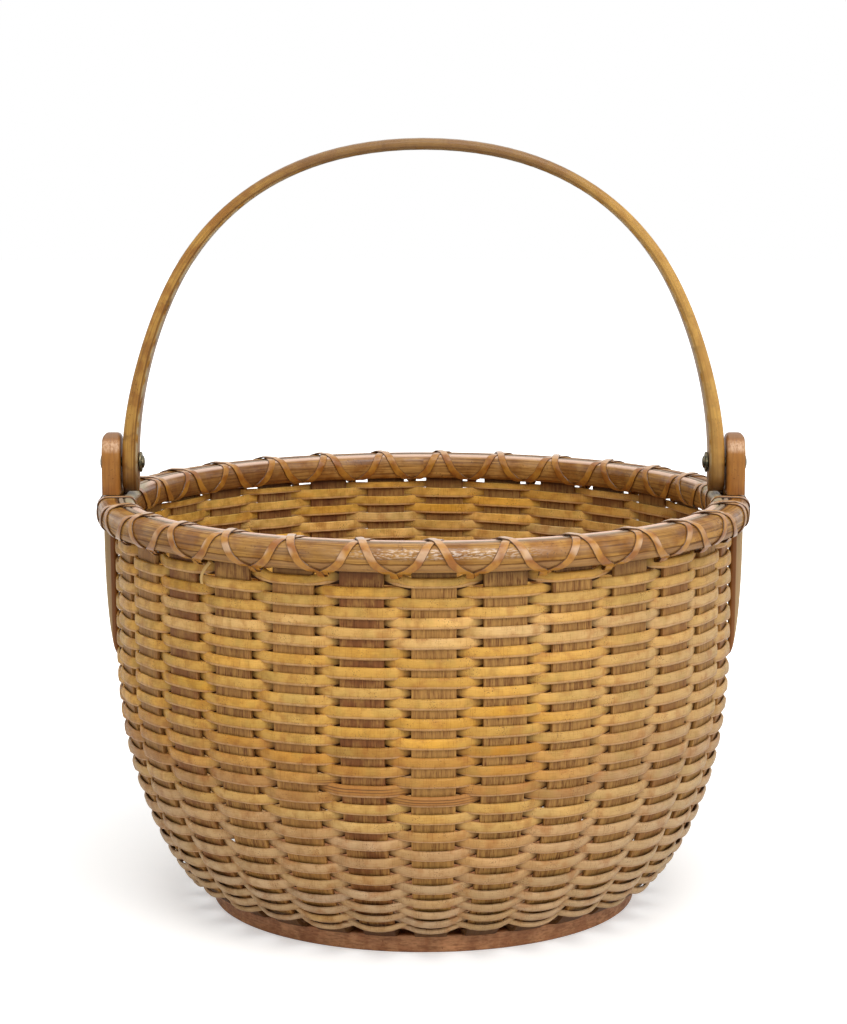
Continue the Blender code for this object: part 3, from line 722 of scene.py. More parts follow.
@dataclass(frozen=True)
class CaneFinish:
    """Cane with its skin outwards: fibres, ticks, stains, a painted floor reflection on its lower edges
    and painted shade at its tips.

    The share that a corner carries is 1 on a face in the open, a half where the cane passes
    between two staves, and 0 on the face that it turns to a stave.
    """

    name: str = "weave_cane"
    # The paler lower edge's colour, a painted reflection of the floor.
    edge: Colour = (0.60, 0.36, 0.19)
    # The colour of the painted shade at the tips.
    shade: Colour = (0.06, 0.026, 0.01)
    green: Colour = (0.36, 0.25, 0.06)
    russet: Colour = (0.40, 0.155, 0.035)
    pale_east_tone: Colour = (0.56, 0.40, 0.235)
    bleached: Colour = (0.63, 0.455, 0.265)
    speck: Colour = (0.13, 0.055, 0.02)
    roughness: float = 0.40
    half_width: float = 0.0022
    # Where the painted shade at the tips starts and ends, in open share, and how wide the lit cane stays.
    tip_start: float = 0.52
    tip_end: float = 0.31
    tip_width_shares: Pair = (0.22, 1.12)
    splices: tuple[Pair, ...] = ((0.0028, 0.0672), (-0.024, 0.0712))
    splice_reach: Pair = (0.021, 0.0035)
    threads: tuple[float, float, float] = (0.42, -0.05, -0.5)
    thread_reach: float = 0.00028

    def tinted_and_lit(self, made: Finish, tone: Socket, place: Socket, shifted: Socket) -> Socket:
        """The tone paler towards +X, bleached low on the sides, redder and greener in places, and with
        painted light on its inner side.

        Args:
            made: The finish.
            tone: The cane's own tone.
            place: Places over its width and length.
            shifted: The same places moved on, for marks that lie elsewhere.

        Returns:
            The tone with these places.
        """
        east, _, height = made.parts(made.on_object())
        aside = made.maths("ABSOLUTE", east)
        # Paler towards +X, less so near the rim.
        eastward = made.ease(east, 0.02, 0.11, 0.0, 0.5)
        tone = made.over(tone, self.pale_east_tone, eastward, made.ease(height, 0.15, 0.1, 0.4, 1.0))
        low = made.ease(height, 0.085, 0.03)
        tone = made.over(tone, self.bleached, low, made.ease(aside, 0.03, 0.1, 0.2, 0.6))
        redder = made.mask(Effect.BLOTCHES, Place=place, Size=0.008, Low=0.5, High=0.68)
        tone = made.over(tone, self.russet, redder, 0.5)
        greener = made.mask(Effect.BLOTCHES, Place=shifted, Size=0.013, Low=0.47, High=0.66)
        tone = made.over(tone, self.green, greener, made.ease(height, 0.04, 0.09, 0.12, 0.36))
        # Painted light: faces turned to the basket's inside are made lighter.
        outward = made.vector("NORMALIZE", made.vector("MULTIPLY", made.on_object(), LEVEL))
        painted_inner_light = made.ease(made.measure("DOT_PRODUCT", outward, made.facing()), -0.2, -0.5)
        return made.over(tone, (1.22, 1.2, 1.0), painted_inner_light, blend="MULTIPLY")

    def lower_edge_reflection(self, made: Finish, tone: Socket) -> Socket:
        """The tone with a paler lower edge, painted as a reflection of the floor, and a redder crease
        above it.
        """
        across, _, _ = made.parts(made.on_length())
        crease = -self.half_width * 0.46
        # Painted reflection of the floor on the cane's lower edge.
        floor_reflection = made.ease(across, crease, -self.half_width * 0.60, 0.0, 0.6)
        tone = made.over(tone, self.edge, floor_reflection)
        return made.over(tone, self.russet, made.band(across, crease, self.half_width * 0.12), 0.35)

    def tips(self, made: Finish, open_share: Socket) -> Socket:
        """How much painted shade lies at a place: it narrows the lit cane to a point as it goes behind."""
        across, _, _ = made.parts(made.on_length())
        widths = made.ease(
            open_share, self.tip_end, self.tip_start, *self.tip_width_shares, shape="LINEAR"
        )
        side = made.maths("DIVIDE", made.maths("ABSOLUTE", across), self.half_width)
        beside = made.ease(made.maths("SUBTRACT", side, widths), -0.06, 0.14)
        behind = made.ease(open_share, self.tip_end - 0.04, self.tip_start - 0.05, 0.8, 0.0)
        return made.maths("MAXIMUM", beside, behind)

    def frayed(self, made: Finish, tone: Socket) -> Socket:
        """The tone with the browner frayed canes where two of them were spliced."""
        across, _, _ = made.parts(made.on_length())
        east, _, height = made.parts(made.on_object())
        threads = [made.band(across, self.half_width * share, self.thread_reach) for share in self.threads]
        lines = made.maths("MAXIMUM", made.maths("MAXIMUM", *threads[:2]), threads[2])
        reach, rise = self.splice_reach
        for middle, level in self.splices:
            here = made.times(made.band(east, middle, reach), made.band(height, level, rise))
            tone = made.over(tone, self.russet, here, 0.45)
            tone = made.over(tone, self.speck, here, lines, 0.9)
        return tone

    def material(self) -> Material:
        """Draws the material."""
        made = Finish(self.name, self.roughness)
        colour, open_share = made.stained()
        place = made.on_length()
        shifted = made.vector("ADD", place, (0.37, 0.11, 0.0))
        tone = self.tinted_and_lit(made, colour, place, shifted)
        tone = self.lower_edge_reflection(made, tone)
        fibres = made.effect(
            Effect.STREAKS, Place=place, Streaks=2700.0, Stretch=16.0, Sharpness=0.2, Level=0.54
        )
        tone = made.over(tone, (0.62, 0.5, 0.38), fibres.outputs[0], 0.42, blend="MULTIPLY")
        east, _, _ = made.parts(made.on_object())
        mottle = made.mask(Effect.BLOTCHES, Place=shifted, Size=0.0045, Low=0.42, High=0.62)
        dimming = made.ease(east, 0.06, -0.10, 0.22, 0.6)
        tone = made.over(tone, (0.70, 0.60, 0.46), mottle, dimming, blend="MULTIPLY")
        ticks = made.noise(place, (150.0, 2200.0, 1.0), detail=2)
        ticked = made.times(made.ease(ticks, 0.52, 0.68, 0.0, 0.5), made.ease(mottle, 0, 1, 0.35, 1.0))
        tone = made.over(tone, (0.6, 0.46, 0.34), ticked, blend="MULTIPLY")
        specks = made.mask(Effect.SPECKS, Place=place, Size=0.0005, Share=0.42)
        tone = made.over(tone, self.speck, specks, 0.65)
        tone = self.frayed(made, tone)
        # Painted shade at the tips, where the cane goes behind a stave.
        tone = made.over(tone, self.shade, self.tips(made, open_share))
        grain = fibres.outputs["Height"]
        rough = made.ease(grain, 0.3, 0.7, self.roughness - 0.06, self.roughness + 0.14)
        relief = made.maths("ADD", grain, made.times(ticks, 0.8))
        return made.finish(tone, rough, relief, depth=0.00009)


@dataclass(frozen=True)
class WoodFinish:
    """Wood with streaks of grain along the piece, blotches and specks."""

    name: str
    light: Colour
    middle: Colour
    dark: Colour
    roughness: float
    streaks: float = 1400.0
    stretch: float = 30.0
    contrast: float = 0.6
    blotch_size: float = 0.02
    coat: float = 0.0
    ripple: float = 0.0
    specular: float = 0.2
    places: Places = Places.LENGTH

    def marks(self, made: Finish, tone: Socket) -> Socket:
        """The marks of use, and the painted light and shade, on one kind of piece, of which plain wood has
        none.
        """
        return tone

    def material(self) -> Material:
        """Draws the material."""
        made = Finish(self.name, self.roughness, self.coat, specular=self.specular)
        place = made.on_rim() if self.places is Places.RIM else made.on_length()
        grain = made.effect(
            Effect.STREAKS, Place=place, Streaks=self.streaks, Stretch=self.stretch,
            Sharpness=0.55, Level=0.55,
        )
        broad = made.mask(
            Effect.STREAKS, Place=place, Streaks=self.streaks / 5, Stretch=self.stretch, Sharpness=0.2
        )
        clouds = made.mask(Effect.BLOTCHES, Place=place, Size=self.blotch_size, Low=0.38, High=0.64)
        specks = made.mask(Effect.SPECKS, Place=place, Size=0.0008, Share=0.32)
        tone = made.mix(clouds, self.light, self.middle)
        tone = made.over(tone, self.dark, broad, self.contrast * 0.55)
        tone = made.over(tone, self.dark, grain.outputs[0], self.contrast)
        tone = made.over(tone, self.dark, specks, 0.6)
        tone = self.marks(made, tone)
        grain_height = grain.outputs["Height"]
        rough = made.ease(grain_height, 0.3, 0.7, self.roughness - 0.05, self.roughness + 0.12)
        ripples = made.noise(place, (900.0, 420.0, 900.0), detail=3)
        relief = made.maths("ADD", grain_height, made.times(ripples, self.ripple))
        return made.finish(tone, rough, relief, depth=0.0001)


@dataclass(frozen=True)
class HoopFinish(WoodFinish):
    """The hoops' wood, with painted highlights and shade, worn pale on the inner one's top, with a split
    line low on its face.
    """

    bottom: float = 0.0
    top: float = 0.0
    seat: float = 0.0
    # The inner hoop's pale top: wear, partly a painted highlight.
    worn: Colour = (0.78, 0.56, 0.44)
    grey: Colour = (0.38, 0.215, 0.10)
    moss: Colour = (0.32, 0.29, 0.17)
    sheen: float = 0.85
    # A worn crackled patch on the outer face, painted pale as a highlight.
    highlight_fleck: Colour = (0.80, 0.67, 0.56)
    highlight_middle: float = 0.006
    highlight_reach: float = 0.042
    split_rise: float = 0.0034
    # The colour of the painted shade on the inner hoop's left.
    shaded: Colour = (0.14, 0.045, 0.016)

    def outer_face(self, made: Finish, tone: Socket) -> Socket:
        """The outer hoop's tone: the split line, the greyer wood under it, a worn crackled patch with a
        painted highlight, and painted shade along the top by the seat.
        """
        place = made.on_rim()
        height, travel, radius = made.parts(place)
        wander = made.noise(made.add("CombineXYZ", travel).outputs[0], 55.0, detail=4)
        level = made.maths("ADD", height, made.times(made.maths("SUBTRACT", wander, 0.5), 0.0022))
        outer = made.ease(radius, self.seat + 0.001, self.seat + 0.004)
        split = self.bottom + self.split_rise
        below = made.ease(level, split + 0.0004, split - 0.0007)
        tone = made.over(tone, self.grey, below, outer, 0.45)
        tone = made.over(tone, self.dark, made.band(level, split, 0.00035), outer, 0.7)
        # Painted highlight over a worn crackled patch on the front of the outer hoop.
        crackle = made.noise(place, (2300.0, 650.0, 2300.0), detail=4)
        rubbed = made.times(
            made.band(height, self.bottom + 0.0072, 0.0024),
            made.band(travel, self.highlight_middle, self.highlight_reach),
            made.ease(crackle, 0.45, 0.64),
        )
        tone = made.over(tone, self.highlight_fleck, rubbed, outer, 0.5)
        # Painted shade in the groove between the outer hoop's top and the rim cane.
        brink_shade = made.band(radius, self.seat + 0.0021, 0.0008)
        top = made.ease(height, self.top - 0.0012, self.top - 0.0004)
        return made.over(tone, self.dark, brink_shade, top, 0.85)

    def inner_face(self, made: Finish, tone: Socket) -> Socket:
        """The inner hoop's tone: a painted highlight in the middle, painted shade on the left, worn pale
        with a painted highlight on top, and mossy by the ears.
        """
        east, _, _ = made.parts(made.on_object())
        height, _, radius = made.parts(made.on_rim())
        inner = made.ease(radius, self.seat, self.seat - 0.0015)
        aside = made.maths("ABSOLUTE", east)
        # Painted highlight in the middle of the inner face, and painted shade towards -X.
        middle = made.ease(aside, 0.09, 0.03)
        tone = made.over(tone, (1.22, 1.25, 1.45), inner, middle, blend="MULTIPLY")
        tone = made.over(tone, self.shaded, inner, made.ease(east, -0.03, -0.08, 0.0, 0.5))
        # Worn pale, partly a painted highlight, on the inner hoop's rounded top.
        top = made.ease(height, self.top - 0.0012, self.top - 0.0002)
        tone = made.over(tone, self.worn, top, inner, 0.8)
        upper = made.ease(height, self.top - 0.003, self.top - 0.0008)
        return made.over(tone, self.moss, made.ease(aside, 0.1095, 0.1125), inner, upper, 0.75)

    def marks(self, made: Finish, tone: Socket) -> Socket:
        """The marks on both hoops, and the gloss on their upper part."""
        place = made.on_rim()
        height, _, _ = made.parts(place)
        upper = made.ease(height, self.bottom + 0.0035, self.bottom + 0.006)
        under_top = made.ease(height, self.top - 0.0004, self.top - 0.002)
        shine = made.ease(made.noise(place, 130.0, detail=3), 0.35, 0.62, 0.25, 1.0)
        gloss = made.times(upper, under_top, shine, self.sheen)
        made.feed(made.shader.inputs["Coat Weight"], gloss)
        return self.inner_face(made, self.outer_face(made, tone))


@dataclass(frozen=True)
class EarFinish(WoodFinish):
    """The ears' wood, worn pale with a painted highlight over the head and greyer on the tail's outer
    face.
    """

    top: float = 0.0
    ledge: float = 0.0
    tail_middle: float = 0.1225
    # The worn band on the head, partly a painted highlight.
    rubbed: Colour = (0.63, 0.40, 0.235)
    cap: Colour = (0.22, 0.115, 0.05)
    grey: Colour = (0.45, 0.315, 0.165)
    red: Colour = (0.20, 0.075, 0.025)

    def marks(self, made: Finish, tone: Socket) -> Socket:
        """The band on the head, worn pale with a painted highlight, and the tail's red edges and greyer
        outer face.
        """
        place = made.on_object()
        east, _, height = made.parts(place)
        facing, _, _ = made.parts(made.facing())
        lines = made.noise(made.vector("MULTIPLY", place, (1.0, 1.0, 0.15)), 1500.0, detail=3)
        # Worn pale band a quarter down the head, partly a painted highlight.
        band = made.band(height, self.top - 0.0046, 0.0030)
        tone = made.over(tone, self.rubbed, band, made.ease(lines, 0.35, 0.65, 0.3, 0.8))
        cap = made.ease(height, self.top - 0.0028, self.top - 0.0012, 0.0, 0.65)
        tone = made.over(tone, self.cap, cap)
        tail = made.ease(height, self.ledge, self.ledge - 0.002)
        side = made.ease(made.maths("ABSOLUTE", facing), 0.75, 0.35)
        tone = made.over(tone, self.red, tail, side, 0.75)
        out = made.maths("ABSOLUTE", east)
        outer = made.ease(out, self.tail_middle, self.tail_middle + 0.0005)
        return made.over(tone, self.grey, tail, outer, 0.85)


@dataclass(frozen=True)
class HandleFinish(WoodFinish):
    """The handle's wood, with a pale line along its inner edges, partly worn and partly a painted
    highlight, painted shade on the feet, and a darker crown.
    """

    pivot: float = 0.0
    top: float = 0.0
    pale_places: Pair = (0.0247, 0.0010)
    line_places: Pair = (0.0234, 0.0023)
    # The pale edge line: wear, partly a painted highlight.
    pale: Colour = (0.52, 0.46, 0.30)
    crown: Colour = (0.17, 0.088, 0.034)
    gold: Colour = (0.78, 0.47, 0.13)

    def marks(self, made: Finish, tone: Socket) -> Socket:
        """The pale edges, partly worn and partly a painted highlight, with a dark line beside them, the
        painted shade on the feet and the browner crown.
        """
        place = made.on_object()
        girth_place, _, _ = made.parts(made.on_length())
        east, _, height = made.parts(place)
        worn = made.ease(made.noise(place, 220.0, detail=3), 0.36, 0.56)
        # Pale lines along the inner edges, partly wear and partly a painted highlight.
        for pale, line in zip(self.pale_places, self.line_places):
            tone = made.over(tone, self.pale, made.band(girth_place, pale, 0.0010), worn, 0.75)
            tone = made.over(tone, self.dark, made.band(girth_place, line, 0.00045), 0.65)
        stains = made.mask(Effect.BLOTCHES, Place=place, Size=0.006, Low=0.56, High=0.7)
        tone = made.over(tone, self.dark, stains, 0.55)
        tone = made.over(tone, self.gold, made.ease(east, 0.03, 0.09, 0.0, 0.28))
        crown = made.ease(height, self.top - 0.03, self.top - 0.004, 0.0, 0.75)
        tone = made.over(tone, self.crown, crown)
        # Painted shade on the feet, where they sit beside the ears.
        feet = made.ease(height, self.pivot + 0.006, self.pivot - 0.008, 0.0, 0.75)
        return made.over(tone, self.dark, feet)


@dataclass(frozen=True)
class MetalFinish:
    """Tarnished brass."""

    name: str = "rivet_metal"
    bright: Colour = (0.24, 0.20, 0.12)
    dark: Colour = (0.06, 0.065, 0.045)

    def material(self) -> Material:
        """Draws the material."""
        made = Finish(self.name, 0.42, metallic=0.85)
        clouds = made.mask(Effect.BLOTCHES, Place=made.on_object(), Size=0.0015, Low=0.35, High=0.65)
        tone = made.mix(clouds, self.bright, self.dark)
        return made.finish(tone, made.ease(clouds, 0, 1, 0.35, 0.6), clouds, depth=0.00005)


def settle(piece: Piece, body: Body, slot: str, material: Material, *nodes: str) -> None:
    """Dresses a finished piece and puts it on its body, in place of nodes of the frame.

    Args:
        piece: The piece.
        body: The body that it rides on.
        slot: The record's material slot; not used.
        material: Its finish.
        *nodes: The nodes that it stands for.
    """
    piece.data.materials.clear()
    piece.data.materials.append(material)
    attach(piece, body.value)
    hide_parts(*nodes)
    LOG.info("%s: %d faces, rides on %s", piece.name, len(piece.data.polygons), body.value)


# The sub-assemblies


@dataclass
class SideCurve:
    """The middle line of the side: an elliptic arc up from the base, then straight."""

    measures: Measures
    foot_offset: float = 0.0033
    foot_rise: float = 0.0008
    stave_thickness: float = 0.0016
    groove_lift: float = 0.0011
    belly_height: float = 0.0994
    depth_share: float = 1.139
    samples: int = 400
    slope_samples: int = 4

    def __post_init__(self) -> None:
        """Works out the arc and its length."""
        self.radius = self.measures.wall_radius
        self.groove_middle = self.measures.tongue_bottom + self.groove_lift + self.stave_thickness / 2
        self.foot_radius = self.measures.base_radius + self.foot_offset
        self.foot_height = self.groove_middle + self.foot_rise
        self.depth = (self.belly_height - self.foot_height) * self.depth_share
        self.foot_angle = math.acos((self.belly_height - self.foot_height) / self.depth)
        self.bulge = (self.radius - self.foot_radius) / (1 - math.sin(self.foot_angle))
        turns = np.linspace(self.foot_angle, math.pi / 2, self.samples)
        spans = self.radius - self.bulge * (1 - np.sin(turns))
        heights = self.belly_height - self.depth * np.cos(turns)
        self.spans = np.append(spans, self.radius)
        self.heights = np.append(heights, self.measures.rim_top)
        self.travel = run_length(np.stack([self.spans, self.heights], axis=-1))

    def place(self, travel: Array) -> tuple[Array, Array]:
        """The radius and height at distances along the line, also a little below its foot."""
        before = np.minimum(travel, 0)
        slope = self.slope(np.zeros(1))
        radius = np.interp(travel, self.travel, self.spans) + before * math.cos(slope[0])
        height = np.interp(travel, self.travel, self.heights) + before * math.sin(slope[0])
        return radius, height

    def slope(self, travel: Array) -> Array:
        """The line's angle over the floor at distances along it."""
        reach = self.samples_step()
        low = np.clip(travel - reach, 0, self.travel[-1])
        high = np.clip(travel + reach, 0, self.travel[-1])
        rise = np.interp(high, self.travel, self.heights) - np.interp(low, self.travel, self.heights)
        widening = np.interp(high, self.travel, self.spans) - np.interp(low, self.travel, self.spans)
        return np.arctan2(rise, widening)

    def samples_step(self) -> float:
        """The distance over which a slope is taken."""
        return self.travel[-2] / self.samples * self.slope_samples

    def at_height(self, height: float) -> float:
        """The distance along the line at a height."""
        return float(np.interp(height, self.heights, self.travel))

    def off(self, travel: Array, out: Array) -> tuple[Array, Array]:
        """The radius and height at a distance along the line and a distance outwards from it."""
        radius, height = self.place(travel)
        slope = self.slope(travel)
        return radius + out * np.sin(slope), height - out * np.cos(slope)


@dataclass
class Staves:
    """The flat wooden uprights, from the groove in the base up between the hoops."""

    measures: Measures
    curve: SideCurve
    top_width: float = 0.016
    foot_width: float = 0.012
    taper_power: float = 3
    bend_reach: float = 0.0018
    crown: float = 0.00012
    rounding: float = 0.0003
    steps: int = 44
    tongue_steps: int = 5
    tongue_gap: float = 0.0012
    bend_corner: Pair = (0.0004, 0.0002)
    foot_places: tuple[float, float, float] = (0.0008, 0.0025, 0.006)

    @property
    def front_tones(self) -> dict[int, tuple[float, float, float, float]]:
        """The greyness, redness and streaks of the front stave and of those beside it."""
        return {0: (0.3, 0.1, 0.4, 1.0), 1: (0.8, 0.15, 0.8, 1.0), 28: (0.2, 1.0, 1.0, 1.0)}

    def width(self, travel: Array) -> Array:
        """A stave's width along the side."""
        _, height = self.curve.place(travel)
        drop = np.clip((self.curve.belly_height - height) / self.curve.depth, -1, 1)
        left = (math.pi / 2 - np.arccos(drop)) / (math.pi / 2 - self.curve.foot_angle)
        narrowing = (self.top_width - self.foot_width) * np.clip(left, 0, 1) ** self.taper_power
        return self.top_width - narrowing

    def line(self) -> tuple[Array, Array, Array]:
        """The middle line of a stave with its width, as (radius, height, width) arrays."""
        curve = self.curve
        bend = self.measures.base_radius + self.bend_reach
        tongue = np.linspace(self.measures.tongue_end, bend - self.tongue_gap, self.tongue_steps)
        *foot, start = self.foot_places
        top = curve.at_height(self.measures.stave_top)
        travel = np.concatenate([foot, np.linspace(start, top, self.steps)])
        radius, height = curve.place(travel)
        out, up = self.bend_corner
        level = np.full(self.tongue_steps, curve.groove_middle)
        radius = np.concatenate([tongue, [bend + out], radius])
        height = np.concatenate([level, [curve.groove_middle + up], height])
        width = np.concatenate([np.full(self.tongue_steps + 1, self.foot_width), self.width(travel)])
        return radius, height, width

    def model(self) -> Piece:
        """One stave at the front."""
        radius, height, width = self.line()
        half_depth = self.curve.stave_thickness / 2
        slope = np.arctan2(np.gradient(height), np.gradient(radius))
        rings = []
        for span, rise, full, lean in zip(radius, height, width, slope):
            section = slab_section(full / 2, half_depth, self.rounding, steps=2)
            outer_face = [[full * share, half_depth] for share in (0.25, 0, -0.25)]
            section = np.insert(section, 6, outer_face, 0)
            bow = self.crown * (1 - (2 * section[:, 0] / full) ** 2)
            out = section[:, 1] + np.where(section[:, 1] > 0, bow, 0)
            front = -(span + out * math.sin(lean))
            rings.append(np.stack([section[:, 0], front, rise - out * math.cos(lean)], axis=-1))
        line = np.stack([radius, height], axis=-1)
        return loft("stave_model", np.array(rings), girth(section), run_length(line))

    def build(self) -> None:
        """Models one stave and copies it round the basket, each copy with its own grain."""
        model = self.model()
        material = StaveFinish().material()
        chance = np.random.default_rng(SEED)
        for number in range(self.measures.stave_count):
            deselect_all()
            piece = model.copy()
            piece.data = model.data.copy()
            piece.name = piece.data.name = f"split_stave_{number + 1:02d}"
            bpy.context.collection.objects.link(piece)
            piece.rotation_euler.z = self.measures.phase + number * self.measures.pitch
            take(piece)
            bpy.ops.object.transform_apply(location=True, rotation=True, scale=True)
            shift = chance.uniform(0.1, 0.9, 2)
            layer = piece.data.uv_layers[0].data
            places = np.empty(len(layer) * 2, dtype=np.float32)
            layer.foreach_get("uv", places)
            layer.foreach_set("uv", (places.reshape(-1, 2) + shift).astype(np.float32).ravel())
            tone = np.array(self.front_tones.get(number, chance.uniform(0, 1, 4)))
            stain(piece, np.tile(tone, (len(piece.data.vertices), 1)))
            settle(piece, Body.BASKET, "stave_wood", material, f"stave_{number + 1:02d}")
        bpy.data.objects.remove(model)


@dataclass(frozen=True)
class StaveFinish:
    """Split wood with dark upright streaks, and painted shade at the foot and under the hoops. Staves
    differ in redness and in darkness.
    """

    name: str = "stave_wood"
    brown: Colour = (0.51, 0.265, 0.070)
    grey: Colour = (0.49, 0.272, 0.078)
    red: Colour = (0.26, 0.098, 0.028)
    streak: Colour = (0.15, 0.050, 0.013)
    shadow: Colour = (0.07, 0.028, 0.010)
    foot: float = 0.0105
    rim: float = 0.150
    roughness: float = 0.52

    def material(self) -> Material:
        """Draws the material."""
        made = Finish(self.name, self.roughness)
        place = made.on_length()
        tones, _ = made.stained()
        greyness, redness, streaked = made.node("SeparateColor", Color=tones).outputs
        fine = made.effect(
            Effect.STREAKS, Place=place, Streaks=2500.0, Stretch=24.0, Sharpness=0.8, Level=0.53
        )
        broad = made.mask(
            Effect.STREAKS, Place=place, Streaks=700.0, Stretch=9.0, Sharpness=0.5, Level=0.56
        )
        clouds = made.mask(Effect.BLOTCHES, Place=place, Size=0.009, Low=0.38, High=0.6)
        base = made.mix(greyness, self.brown, self.grey)
        base = made.over(base, self.red, made.ease(clouds, 0, 1, 0.35, 1.0), redness)
        strength = made.ease(streaked, 0.0, 1.0, 0.55, 1.0)
        base = made.over(base, self.streak, broad, strength)
        patches = made.mask(Effect.BLOTCHES, Place=place, Size=0.006, Low=0.42, High=0.62)
        fine_strength = made.times(strength, made.ease(patches, 0, 1, 0.35, 1.1))
        base = made.over(base, self.streak, fine.outputs[0], fine_strength)
        _, _, height = made.parts(made.on_object())
        # Painted shade: darker at the foot by the base and under the hoops.
        for low, high, share in (
            (self.foot + 0.003, self.foot, 0.85),
            (self.rim - 0.005, self.rim, 0.35),
            (self.rim - 0.0016, self.rim - 0.0004, 0.7),
        ):
            base = made.over(base, self.shadow, made.ease(height, low, high, 0.0, share))
        return made.finish(base, None, fine.outputs["Height"], depth=0.00012)


class Tone(Enum):
    """The tones of the canes, as they darkened over the years."""

    TAN = (0.52, 0.325, 0.155)
    BROWN = (0.53, 0.30, 0.115)
    STRAW = (0.61, 0.36, 0.10)
    RUSSET = (0.45, 0.22, 0.058)
    AMBER = (0.54, 0.275, 0.06)
    GOLD = (0.66, 0.375, 0.085)
    PALE_GOLD = (0.68, 0.41, 0.135)


